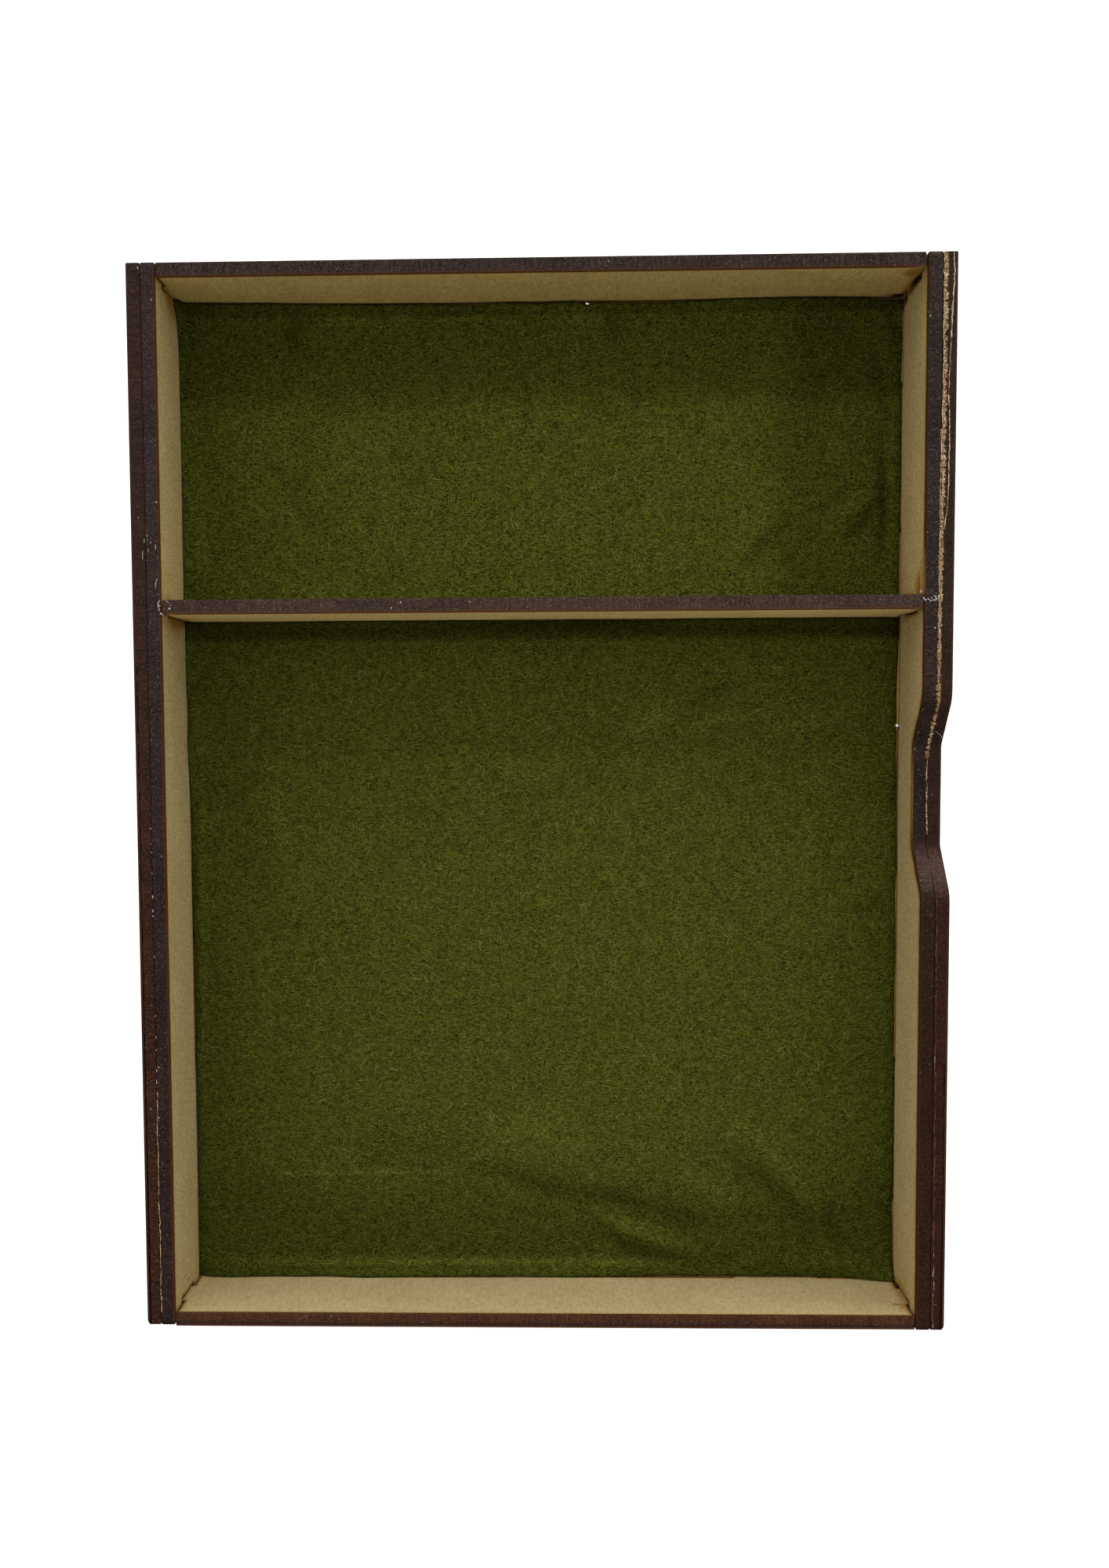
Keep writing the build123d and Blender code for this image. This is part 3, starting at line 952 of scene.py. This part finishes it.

# Painted shade of each felt, multiplied into its colour, with a few paler and darker patches: (depth,
# reach) of the painted shade beside the left and the right wall and, on the rear felt, beside the divider;
# the others are ramps (depth, from, to) over distances in millimetres, of painted shade from the divider,
# along the front felt towards the front wall and from the rear wall, and one more ramp across x gives a
# darker area on the right of the rear felt. Its edge wanders by a noise of (size, cell, seed) and steps
# aside by (size, from, to) towards the rear wall, and it fades by a ramp across. Shadow and lit paint the
# two sides of the edge of the divider's shadow, darker and paler, as (amount, distance from the divider,
# width), and strip is a paler strip along the rear wall, as (amount, width).
feltPaintedShadeAndPatches = {
    "left": (0.36, 30), "right": (0.27, 22), "divider": (0.13, 18, 50), "low": (0.30, -76, -99),
    "rearLeft": (0.34, 27), "band": (0.30, 17.5, 24.5), "brushed": (0.30, 47, 55), "beside": (0.02, 10),
    "shadow": (0.20, 2.6, 0.9), "lit": (0.14, 4.5, 0.9), "strip": (0.24, 3.4),
    "wander": (2, 9 * mm, 77), "step": (2.4, 82, 92), "fade": (0.3, 70, 77),
    "darkest": 0.62, "frontRange": (0.5, 1.7), "rearRange": (0.5, 1.6),
}


# Sum of the folds at each point: each is its line's amount x exp(-(distance / width)^2), and fades at
# both ends of its line as sin(pi t)^0.6.
def foldSum(x, y, folds, which):
    total = np.zeros(np.shape(x))
    for fold in folds:
        away, t = lineDistance(x / mm, y / mm, fold[0])
        total = total + fold[which] * np.exp(-((away / fold[1]) ** 2)) * np.sin(np.pi * t).clip(0) ** 0.6
    return total


# Height of a felt's top: its thickness, its waves and its folds.
def feltHeight(x, y, folds, seed):
    height = tray["feltTop"] - tray["floor"]
    for i, (size, cell) in enumerate(feltLook["waves"]):
        height = height + size * softNoise(x, y, cell, seed + i)
    return height + mm * foldSum(x, y, folds, 2)


# Lift of a sheet along one wall, in metres: it follows a table of places and millimetres along the wall,
# and dies away from the wall as exp(-(distance / reach)^2).
def edgeLift(place, distance, table, reach):
    places, lifts = zip(*table)
    return mm * np.interp(place / mm, places, lifts) * np.exp(-((distance / mm / reach) ** 2))


feltLift = {
    "front": ([(-78, 0), (-70, 0.3), (-61, -0.4), (-50, -0.3), (-40, 0.2), (-20, -0.2), (0, -0.3),
               (10, -0.6), (18, -0.9), (27, -1.2), (60, -1.2), (66, -0.8), (70, 0.2), (74, 1.3),
               (78, 2)], 2),
    "rear": ([(-78, 3.3), (-71, 3.2), (-61, 2.6), (-52, 1.4), (-36, 0.8), (-20, 0.1), (-3, 0.6), (7, 1),
              (17, 0.5), (27, 0.1), (36, 0.7), (46, 1.5), (56, 1.9), (66, 1.2), (78, 0.2)], 2.6),
    "rearLeft": ([(42.5, 2.3), (60, 2.3), (85, 2.1), (98, 2.6), (103, 4.2), (107.5, 7)], 2),
    "rearRight": ([(42.5, -1), (98, -1.1), (107.5, 0.2)], 1.2),
    "frontLeft": ([(-107.5, -1.1), (-6, -1), (4, 0), (12, 1.2), (39.5, 1.4)], 1.6),
    "frontRight": ([(-107.5, 0.5), (-100, -0.8), (-10, -0.8), (0, -1.1), (39.5, -1.1)], 1.2),
}


# Height of one felt: its top, and the largest in size of its three lifts, at its end wall and its sides.
def sheetHeight(x, y, which, folds, seed, fromEnd):
    inner = tray["inner"]
    lifts = [edgeLift(x, fromEnd, *feltLift[which]), edgeLift(y, x + inner, *feltLift[which + "Left"]),
             edgeLift(y, inner - x, *feltLift[which + "Right"])]
    lift = np.maximum.reduce(lifts).clip(0) + np.minimum.reduce(lifts).clip(-feltLook["sink"], 0)
    return np.maximum(feltHeight(x, y, folds, seed) + lift, feltLook["thinnest"])


def frontHeight(x, y):
    return sheetHeight(x, y, "front", frontFolds, 41, y + tray["endInner"])


def rearHeight(x, y):
    return sheetHeight(x, y, "rear", rearFolds, 51, tray["endInner"] - y)


# Painted shade beside a wall: 1 - depth x exp(-distance / reach), with distances in millimetres.
def besideWall(distance, depth, reach):
    return 1 - depth * np.exp(-np.clip(distance / mm, 0, None) / reach)


# Painted shade of the front felt: darker beside its walls, near the divider and towards the front wall,
# with the painted edge of the divider's shadow and the painted light and shade of its folds.
def frontPaintedShadeAndPatches(x, y):
    tone, inner = feltPaintedShadeAndPatches, tray["inner"]
    shade = besideWall(x + inner, *tone["left"]) * besideWall(inner - x, *tone["right"])
    depth, start, end = tone["divider"]
    away = (tray["dividerFront"] - y) / mm
    shade = shade * (1 - depth * (1 - smoothStep(start, end, away)))
    for sign, (amount, middle, width) in ((-1, tone["shadow"]), (1, tone["lit"])):
        shade = shade * (1 + sign * amount * np.exp(-(((away - middle) / width) ** 2)))
    depth, start, end = tone["low"]
    shade = (shade * (1 - depth * smoothStep(-start, -end, -y / mm))).clip(tone["darkest"])
    return shade * (1 + foldSum(x, y, frontFolds, 3)).clip(*tone["frontRange"])


# Painted shade of the rear felt: darker beside the left wall and the divider and in a band along the rear
# wall, with a paler strip along that wall, a darker area on its right, and the painted light and shade of
# its folds.
def rearPaintedShadeAndPatches(x, y):
    tone, inner = feltPaintedShadeAndPatches, tray["inner"]
    shade = besideWall(x + inner, *tone["rearLeft"]) * besideWall(y - tray["dividerRear"], *tone["beside"])
    depth, start, end = tone["band"]
    away = (tray["endInner"] - y) / mm
    shade = shade * (1 - depth * (1 - smoothStep(start, end, away)))
    amount, width = tone["strip"]
    shade = shade * (1 + amount * np.exp(-((away / width) ** 2)))
    size, cell, seed = tone["wander"]
    aside, start, end = tone["step"]
    edgeLine = x / mm + size * softNoise(x * 0, y, cell, seed) - aside * smoothStep(start, end, y / mm)
    fade, start, end = tone["fade"]
    kept = 1 - fade * smoothStep(start, end, x / mm)
    depth, start, end = tone["brushed"]
    shade = shade * (1 - depth * smoothStep(start, end, edgeLine) * kept)
    return shade * (1 + foldSum(x, y, rearFolds, 3)).clip(*tone["rearRange"])


# Felt sheet: a grid over its compartment whose height is a function of x and y, closed by a skirt
# down to the base board and a flat underside. A side's gap widens by its dips, each depth x
# exp(-((place - middle) / width)^2).
def feltPiece(name, node, yLow, yHigh, height, tone, gaps, dips, material, seed):
    inner, span = tray["inner"], yHigh - yLow
    nx, ny = int(2 * inner / feltLook["cell"]), int(span / feltLook["cell"])
    s, t = np.meshgrid(np.linspace(0, 1, nx), np.linspace(0, 1, ny), indexing="ij")

    def gapAt(side, place, offset):
        size, cell = feltLook["waver"]
        gap = gaps[side] * mm + size * (softNoise(place, place * 0, cell, seed + offset) + 0.5)
        for middle, width, depth in dips.get(side, ()):
            gap = gap + depth * mm * np.exp(-(((place / mm - middle) / width) ** 2))
        return gap

    across, down = (s - 0.5) * 2 * inner, yLow + t * span
    left, right = -inner + gapAt("left", down, 0), inner - gapAt("right", down, 1)
    front, rear = yLow + gapAt("front", across, 2), yHigh - gapAt("rear", across, 3)
    x, y = left + (right - left) * s, front + (rear - front) * t
    top = np.stack([x, y, tray["floor"] + height(x, y)], -1).reshape(-1, 3)
    index = np.arange(nx * ny).reshape(nx, ny)
    quads = np.stack([index[:-1, :-1], index[1:, :-1], index[1:, 1:], index[:-1, 1:]], -1).reshape(-1, 4)
    rim = np.concatenate([index[:-1, 0], index[-1, :-1], index[:0:-1, -1], index[0, :0:-1]])
    under = top[rim] * (1, 1, 0) + (0, 0, tray["floor"])
    low = len(top) + np.arange(len(rim))
    skirt = np.stack([rim, low, np.roll(low, -1), np.roll(rim, -1)], 1)
    points = np.concatenate([top, under])
    piece = meshPiece(name, points, [quads, skirt, low[::-1][None]])
    # the shade attribute is the felt's painted shade
    pointValues(piece, "shade", tone(points[:, 0], points[:, 1]))
    dress(piece, material, "felt", node)


# Strands: a three-sided tube round each path, closed at both ends. paths has the shape (count,
# stations, 3) and radii (count, stations).
def strandPiece(name, paths, radii, material, slot, tones):
    count, stations = radii.shape
    along = np.gradient(paths, axis=1)
    along /= np.linalg.norm(along, axis=2, keepdims=True)
    side = np.cross(along, (0, 0, 1.0))
    side /= np.linalg.norm(side, axis=2, keepdims=True)
    up = np.cross(side, along)
    turns = np.radians([30, 150, 270])[:, None]  # a flat side lies on top
    ring = np.cos(turns) * side[:, :, None] + np.sin(turns) * up[:, :, None]
    points = paths[:, :, None] + radii[:, :, None, None] * ring
    index = np.arange(count * stations * 3).reshape(count, stations, 3)
    after = np.roll(index, -1, 2)
    quads = np.stack([index[:, :-1], index[:, 1:], after[:, 1:], after[:, :-1]], -1).reshape(-1, 4)
    ends = np.concatenate([index[:, 0], index[:, -1, ::-1]])
    piece = meshPiece(name, points.reshape(-1, 3), [quads, ends])
    pointValues(piece, "tone", np.repeat(tones, stations * 3))
    return dress(piece, material, slot)


def strandMaterial(name, dark, pale, byPaintedShade=False, roughness=0.9, specular=0.05):
    material, tree, shader = newMaterial(name)
    colour = blendColour(tree, attribute(tree, "tone"), dark, pale)
    # the felt's fibres take the felt's painted shade
    if byPaintedShade:
        colour = shaded(tree, colour, attribute(tree, "shade"))
    setInputs(tree, shader, {"Base Color": colour, "Roughness": roughness, "Specular IOR Level": specular})
    return material


fibres = {
    "count": 7400,  # in each of the objects
    "tried": 5,  # places for each fibre
    "clear": 1.5 * mm,  # from the felt's edges to a fibre's start, and edge to the rest of it
    "edge": 0.6 * mm,
    "radius": 0.048 * mm,
    "length": (0.7 * mm, 2.7 * mm),
    "bend": 330.0,  # spread of the curvature, in radians a metre
    "swirl": (9, 11 * mm, 92),  # size, cell and seed of each noise
    "crowds": ((0.3, 7 * mm, 90), (0.6, 2 * mm, 91)),
    "evenly": 0.12,
    "lift": 0.10 * mm,
    "arch": 0.25 * mm,
    "dark": (0.066, 0.076, 0.007),
    "pale": (0.250, 0.275, 0.062),
}


# Loose fibres of the felt. They crowd where a noise is high and lie along its swirls: each path turns
# at a steady rate, and its height is the sheet's plus a low arch, 4t(1 - t).
def feltFibres(name, yLow, yHigh, height, tone, material, seed):
    rng = np.random.default_rng(seed)
    inner, clear, rest = tray["inner"], fibres["clear"], fibres["edge"]
    tried = fibres["count"] * fibres["tried"]
    x = rng.uniform(clear - inner, inner - clear, tried)
    y = rng.uniform(yLow + clear, yHigh - clear, tried)
    crowd = sum(size * (softNoise(x, y, cell, key) + 0.5) ** 2 for size, cell, key in fibres["crowds"])
    chosen = np.flatnonzero(rng.random(tried) < crowd + fibres["evenly"])[: fibres["count"]]
    x, y = x[chosen], y[chosen]
    least, most = fibres["length"]
    length = least + (most - least) * rng.random(len(x)) ** 1.6
    swirl, cell, key = fibres["swirl"]
    angle = swirl * softNoise(x, y, cell, key) + rng.normal(0, 0.9, len(x))
    bend = rng.normal(0, fibres["bend"], len(x))
    t = np.linspace(0, 1, 5)
    turn = angle[:, None] + bend[:, None] * length[:, None] * t
    step = (length / 4)[:, None]
    x = np.clip(x[:, None] + np.cumsum(np.cos(turn) * step, 1), rest - inner, inner - rest)
    y = np.clip(y[:, None] + np.cumsum(np.sin(turn) * step, 1), yLow + rest, yHigh - rest)
    lift, arch = (rng.uniform(0, fibres[key], len(x))[:, None] for key in ("lift", "arch"))
    z = tray["floor"] + height(x, y) + lift + arch * 4 * t * (1 - t)
    moving = np.hypot(np.diff(x, axis=1), np.diff(y, axis=1)).min(1) > 1e-6
    paths = np.stack([x, y, z], -1)[moving]
    size = fibres["radius"] * (0.6 + 0.6 * rng.random(len(paths)))
    radii = size[:, None] * np.array([0.5, 1, 1, 1, 0.5])
    paleness = rng.random(len(paths)) ** 2
    piece = strandPiece(name, paths, radii, material, "felt", paleness)
    # each fibre takes the felt's painted shade under its middle
    pointValues(piece, "shade", np.repeat(tone(paths[:, 2, 0], paths[:, 2, 1]), paths.shape[1] * 3))


# Edges of the felts in millimetres: the gap at each side, and its dips as (place, width, depth).
feltEdges = {
    "front": (
        {"left": 0.05, "right": 0.15, "front": 0.05, "rear": 0.1},
        {"front": [(50, 26, 0.24)], "left": [(18.5, 4.5, 0.55)],
         "right": [(16, 0.7, 0.34), (22, 5, 0.25), (9, 5, 0.3)]},
    ),
    "rear": (
        {"left": 0.1, "right": 0.15, "front": 0.1, "rear": 0.2},
        {"rear": [(10.3, 1.6, 0.5), (1, 9, 0.25), (20, 7, 0.35), (-13, 3, 0.4), (75, 4, 0.4)]},
    ),
}


def buildFelt():
    front = (-tray["endInner"], tray["dividerFront"], frontHeight, frontPaintedShadeAndPatches)
    rear = (tray["dividerRear"], tray["endInner"], rearHeight, rearPaintedShadeAndPatches)
    feltPiece("frontFelt", "front_felt", *front, *feltEdges["front"], feltMaterial("frontFelt", 0.7), 61)
    feltPiece("rearFelt", "rear_felt", *rear, *feltEdges["rear"], feltMaterial("rearFelt", 0.85), 71)
    material = strandMaterial("feltFibres", fibres["dark"], fibres["pale"], byPaintedShade=True)
    for i in range(3):
        feltFibres("frontFibres" + str(i + 1), *front, material, 101 + i)
    feltFibres("rearFibres", *rear, material, 110)
    print("felt built")


buildFelt()


# Height of the right-hand boards' top at y, in and beside the notch.
def rimHeight(y):
    keys = roundedOutline(outerSideOutline(True, -tray["end"]))
    keys = keys[keys[:, 1] > tray["rim"] - notch["depth"] - 0.1 * mm][::-1]
    return np.interp(y, keys[:, 0], keys[:, 1])


# Torn fibres along the seams. A line is its strands, spread, radius, tone, bristles a millimetre, their
# reach to the left and to the right, and its points as (y, x). A speck is x, y, its length along y and
# its radius. Everything is in millimetres.
fray = {
    "lines": [
        (2, 0.16, 0.04, 0.85, 30, 0.14, 0.7, [(76, 81.3), (88, 81.32), (103, 81.27), (110.3, 81.3)]),
        (2, 0.3, 0.04, 0.85, 32, 0.36, 0.52, [(62, 81.42), (66, 81.46), (76, 81.3)]),
        (2, 0.2, 0.048, 0.62, 34, 0.42, 0.46, [(24, 81.14), (30, 81.14), (48, 81.22), (62, 81.32)]),
        (2, 0.22, 0.04, 0.52, 30, 0.5, 0.42, [(9.2, 80.95), (12, 81.26), (20, 81.3), (24, 81.14)]),
        (1, 0, 0.038, 0.72, 11, 0.2, 0.16, [(-7, 81.15), (-2, 81.02), (6, 80.95), (9.2, 81)]),
        (2, 0.1, 0.06, 0.75, 10, 0.14, 0.14, [(93.5, 82.76), (99.5, 82.92), (104, 83.18), (110.3, 83.12)]),
        (1, 0, 0.05, 0.55, 5, 0.1, 0.1, [(82.5, 82.46), (88.5, 82.52), (93.5, 82.76)]),
        (1, 0, 0.06, 0.75, 9, 0.16, 0.12, [(55.5, 81.8), (59, 82.32), (67, 82.6), (76, 82.62),
          (82.5, 82.46)]),
        (1, 0, 0.055, 0.65, 6, 0.12, 0.12, [(38, 81.08), (48, 81.04), (57, 80.96), (68, 81), (75, 81.05)]),
        (1, 0, 0.026, 0.15, 0, 0.1, 0.1, [(-110.2, 81.65), (-60, 81.45), (-22, 81.3), (-12, 81)]),
        (1, 0, 0.04, 0.5, 2, 0.1, 0.1, [(-101.8, 81.72), (-97, 81.7)]),
        (1, 0, 0.046, 0.65, 3, 0.1, 0.1, [(-107.5, -80.85), (-96, -80.9), (-80, -80.95), (-60, -80.9)]),
    ],
    "specks": [
        (-81.4, 109.4, 0.5, 0.1), (-81.6, 51.6, 2, 0.055), (-78.9, 53.3, 1, 0.07), (-79, 45.7, 1.4, 0.07),
        (-80.6, 55.6, 0.6, 0.06), (-79.9, 54.2, 0.5, 0.06), (-81.2, 54.6, 0.9, 0.05),
        (-80.4, 52.6, 0.7, 0.05), (-81.1, -4.6, 0.4, 0.08), (-81.1, -7.8, 0.3, 0.06),
        (-81, -9.6, 0.3, 0.06), (-81, -14, 0.3, 0.06), (-81, -18.9, 0.7, 0.1), (-81, -21.8, 0.6, 0.1),
        (-81, -22.9, 0.4, 0.09), (-80.9, -31.5, 0.4, 0.05), (-80.9, -44, 0.4, 0.05),
        (-80.9, -48.5, 0.5, 0.07), (-80.9, -51.2, 0.4, 0.06), (-80.9, -55.6, 0.7, 0.07),
        (-80.95, -58, 0.9, 0.07), (-80.85, -104.5, 0.9, 0.09), (81.65, -109.6, 0.8, 0.1),
        (81.5, -98.5, 1.2, 0.05), (81.6, -103, 0.8, 0.04), (81.6, -94.5, 0.7, 0.04),
        (81.3, -53.2, 1.6, 0.05), (81, 50.6, 0.4, 0.13), (81.25, 44.6, 0.5, 0.12),
    ],
    "hair": [(14.6, 82.03), (14.1, 82.9), (13.6, 83.5), (12.9, 83.9)],
    "hairRadius": 0.035,
    "step": 0.25,
    "wander": ((0.20, 2.6), (0.16, 0.7)),  # size and cell of each noise that moves a strand aside
    "broken": 0.75,  # cell of the noise that thins and breaks a strand
    "end": 0.15,  # from a strand to the end of the boards
    "tufts": 6,  # a millimetre, of bristles with one reach and one tone
    "reach": (0.25, 1.45),  # of the tufts, in shares of the line's
    "tones": 0.34,  # spread of the tufts' tones
    "lean": 0.35,
    "curl": 0.10,
    "bristle": 0.062,
    "speckBend": (0.08, 1.3),
    "dark": (0.26, 0.115, 0.034),
    "pale": (0.86, 0.66, 0.38),
    "threads": (0.55, 0.50, 0.44),
}


# Path through a line's points on the boards' top, whose x wanders by two noises.
def seamPath(points, offset, seed):
    places, across = zip(*points)
    y = np.arange(places[0], places[-1], fray["step"])
    x = np.interp(y, places, across) + offset
    for i, (size, cell) in enumerate(fray["wander"]):
        x = x + size * softNoise(y, y * 0, cell, seed + i)
    return x, y


# Strands lying on the boards' top, in millimetres: x and y have the shape (count, stations).
def layStrands(name, x, y, radii, material, tones):
    furthest = tray["end"] - fray["end"] * mm
    place = np.clip(y * mm, -furthest, furthest)
    top = np.where(x > 0, rimHeight(place), tray["rim"]) - radii * mm / 2
    strandPiece(name, np.stack([x * mm, place, top], -1), radii * mm, material, "fibreboard", tones)


# Strands of one line, side by side over its spread.
def seamStrands(number, line, material, rng):
    count, spread, radius, tone, *_, points = line
    seed = 130 + 10 * number
    offsets = spread * (np.arange(count) / max(count - 1, 1) - 0.5) * (count > 1)
    paths = [seamPath(points, offset, seed + k) for k, offset in enumerate(offsets)]
    x, y = (np.array([path[i] for path in paths]) for i in (0, 1))
    breaks = softNoise(y, np.arange(count)[:, None] * 3.7 + y * 0, fray["broken"], seed + 5)
    size = radius * np.clip(0.8 + 2.2 * breaks, 0.15, 1.5)
    tones = np.clip(tone + rng.uniform(-0.1, 0.1, count), 0, 1)
    layStrands("seamLine" + str(number), x, y, size, material, tones)


# Bristles of one line, in tufts: each leans along the seam and curls as t^2.
def seamBristles(number, line, material, rng):
    _, spread, _, tone, density, toLeft, toRight, points = line
    low, high = points[0][0], points[-1][0]
    count = int((high - low) * density)
    if count == 0:
        return
    tuft = rng.integers(0, max(2, int((high - low) * fray["tufts"])), count)
    tufts = tuft.max() + 1
    place, length = rng.uniform(low, high, tufts), rng.uniform(*fray["reach"], tufts)
    shade = rng.normal(0, fray["tones"], tufts)
    y = np.clip(place[tuft] + rng.normal(0, 0.05, count), low, high)
    side = rng.random(count) * (toLeft + toRight) < toLeft
    reach = np.where(side, -toLeft, toRight) * length[tuft] * rng.uniform(0.6, 1.0, count)
    start = np.interp(y, *zip(*points)) + spread * rng.uniform(-0.5, 0.5, count)
    lean = rng.normal(0, fray["lean"], count) * np.abs(reach)
    t = np.linspace(0, 1, 4)
    x = start[:, None] + reach[:, None] * t
    y = y[:, None] + lean[:, None] * t + fray["curl"] * rng.normal(0, 1, count)[:, None] * t**2
    size = fray["bristle"] * rng.uniform(0.5, 1.3, count)[:, None] * np.array([1, 1, 0.8, 0.4])
    paler = tone - 0.35 * np.abs(reach) / max(toLeft, toRight) + shade[tuft] + rng.normal(0, 0.1, count)
    layStrands("seamBristles" + str(number), x, y, size, material, paler.clip(0, 1))


def buildFray():
    torn, rng = strandMaterial("tornFibre", fray["dark"], fray["pale"]), np.random.default_rng(130)
    for number, line in enumerate(fray["lines"], 1):
        seamStrands(number, line, torn, rng)
        seamBristles(number, line, torn, rng)
    thread = strandMaterial("paleThread", fray["threads"], fray["threads"])
    x, y, length, radius = (column[:, None] for column in np.array(fray["specks"]).T)
    t = np.linspace(-0.5, 0.5, 5)
    bend, cell = fray["speckBend"]
    bent = x + bend * softNoise(y + 9 * t, x + 0 * t, cell, 160)
    size = radius * np.array([0.4, 1.1, 0.7, 1, 0.4])
    layStrands("specks", bent, y + length * t, size, thread, np.ones(len(x)))
    y, x = np.array(fray["hair"]).T[:, None]
    layStrands("hair", x, y, np.full(x.shape, fray["hairRadius"]), thread, np.ones(1))
    print("frayed seams built")


buildFray()


# Dried glue beside the divider: beads and curls, each a closed strand through (x, y) with its radius. Its
# two ends lie at its side's heights, unless it has its own. Everything is in millimetres.
glue = {
    "left": [
        ([(-78.2, 42.5), (-78.7, 41.8), (-78.6, 41), (-78.3, 40.2)], 0.07),
        ([(-78.6, 41.6), (-78.4, 41.3), (-78.2, 41.2)], 0.1),
        ([(-77, 42.4), (-76.5, 42), (-76.1, 41.6), (-75.9, 41.2)], 0.05),
        ([(-76.4, 40.9), (-76.3, 40.7), (-76.1, 40.6)], 0.26),
        ([(-78.2, 39.9), (-78, 39.6), (-77.7, 39.5)], 0.13),
        ([(-78.6, 47), (-79.1, 46), (-79.3, 45)], 0.06),
        ([(-78.3, 44.7), (-78.6, 44), (-78.5, 43.4)], 0.06),
    ],
    "right": [
        ([(80.2, 41.8), (80.5, 41.4), (80.1, 41.2), (79.7, 41.3)], 0.12),
        ([(80.6, 41.9), (80, 42.1), (79.5, 41.8), (79.3, 41.5)], 0.08),
        ([(79.6, 41.2), (79.2, 41), (79, 41.3), (78.6, 41.6)], 0.1),
        ([(78.5, 41.5), (78.2, 41.2), (77.9, 41.5), (77.8, 41.9)], 0.1),
        ([(77.75, 43.35), (77.7, 43.1), (77.6, 42.9)], 0.34, 26.4, 26.2),
    ],
    "heights": {"left": (27.93, 27.93), "right": (27.92, 27.92)},
    "colour": (0.58, 0.57, 0.56),
    "steps": 9,
}


# Each bead's radius swells and shrinks along it as 1 + 0.4 sin(9t), and closes at both ends.
def buildGlue():
    material = strandMaterial("driedGlue", glue["colour"], glue["colour"], roughness=0.35, specular=0.4)
    t = np.linspace(0, 1, glue["steps"])
    shape = (1 + 0.4 * np.sin(9 * t)) * np.sin(np.pi * t.clip(0.06, 0.94)) ** 0.4
    for side, level in glue["heights"].items():
        paths, radii = [], []
        for points, radius, *ends in glue[side]:
            x, y = (np.interp(t, np.linspace(0, 1, len(points)), values) for values in zip(*points))
            radii.append(radius * shape)
            z = np.minimum(np.linspace(*(ends or level), len(t)), tray["rim"] / mm - radii[-1] / 2)
            paths.append(np.stack([x, y, z], -1))
        strandPiece(side + "Glue", np.array(paths) * mm, np.array(radii) * mm, material, "fibreboard",
                    np.ones(len(paths)))
    print("glue built")


buildGlue()


# Camera, worked out from the corners of the tray in the photograph. Its place is above the rim.
camera = {
    "place": (3.2 * mm, 15.2 * mm, tray["rim"] + 350.0 * mm),
    "turn": (-0.07318, 0.0305, -0.00556),
    "lens": 38.974,
    "sensor": 36,
    "shift": (0.03205, 0.04541),
    "clip": (0.01, 20),
}


def makeCamera():
    data = bpy.data.cameras.new("camera")
    data.sensor_width, data.lens = camera["sensor"], camera["lens"]
    data.shift_x, data.shift_y = camera["shift"]
    data.clip_start, data.clip_end = camera["clip"]
    eye = bpy.data.objects.new("camera", data)
    scene.collection.objects.link(eye)
    eye.location = camera["place"]
    eye.rotation_euler = camera["turn"]
    scene.camera = eye


lights = {
    "place": (0.0, 0.232, 1.0),  # a small lamp almost overhead draws the divider's shadow edge
    "size": (0.12, 0.045),
    "power": 2.7,
    "dome": 0.56,
    "rearward": 1.26,  # added to the dome towards the rear horizon
}


def makeLights():
    data = bpy.data.lights.new("key", "AREA")
    data.shape = "RECTANGLE"
    data.size, data.size_y = lights["size"]
    data.energy = lights["power"]
    lamp = bpy.data.objects.new("key", data)
    scene.collection.objects.link(lamp)
    lamp.location = lights["place"]
    lamp.rotation_euler = (-Vector(lights["place"])).to_track_quat("-Z", "Y").to_euler()
    scene.world = bpy.data.worlds.new("studio")
    tree = emptyTree(scene.world)
    direction = put(tree, "SeparateXYZ", {0: put(tree, "TexCoord").outputs["Generated"]})
    rearward = calc(tree, "MAXIMUM", direction.outputs["Y"], 0.0)
    strength = calc(tree, "MULTIPLY_ADD", rearward, lights["rearward"], lights["dome"])
    soft = put(tree, "Background", {"Color": (1, 1, 1, 1), "Strength": strength})
    white = put(tree, "Background", {"Color": (1, 1, 1, 1), "Strength": 1.0})
    seen = put(tree, "LightPath").outputs["Is Camera Ray"]
    both = put(tree, "MixShader", {0: seen, 1: soft.outputs[0], 2: white.outputs[0]})
    put(tree, "OutputWorld", {0: both.outputs[0]})


ground = {
    "half": 1.5,
    "colour": (0.75, 0.75, 0.75, 1),
    "glow": 0.6,  # seen by the camera only, so that the floor looks white
}


def makeFloor():
    half = ground["half"]
    floor = meshPiece("floor", [(-half, -half, 0), (half, -half, 0), (half, half, 0), (-half, half, 0)],
                      [[(0, 1, 2, 3)]], False)
    material = bpy.data.materials.new("floor")
    tree = emptyTree(material)
    seen = put(tree, "LightPath").outputs["Is Camera Ray"]
    matt = put(tree, "BsdfDiffuse", {"Color": ground["colour"]})
    glow = put(tree, "Emission", {"Color": (1, 1, 1, 1), "Strength": times(tree, seen, ground["glow"])})
    both = put(tree, "AddShader", {0: matt.outputs[0], 1: glow.outputs[0]})
    put(tree, "OutputMaterial", {0: both.outputs[0]})
    floor.data.materials.append(material)


makeCamera()
makeLights()
makeFloor()
scene.view_settings.view_transform = "Standard"
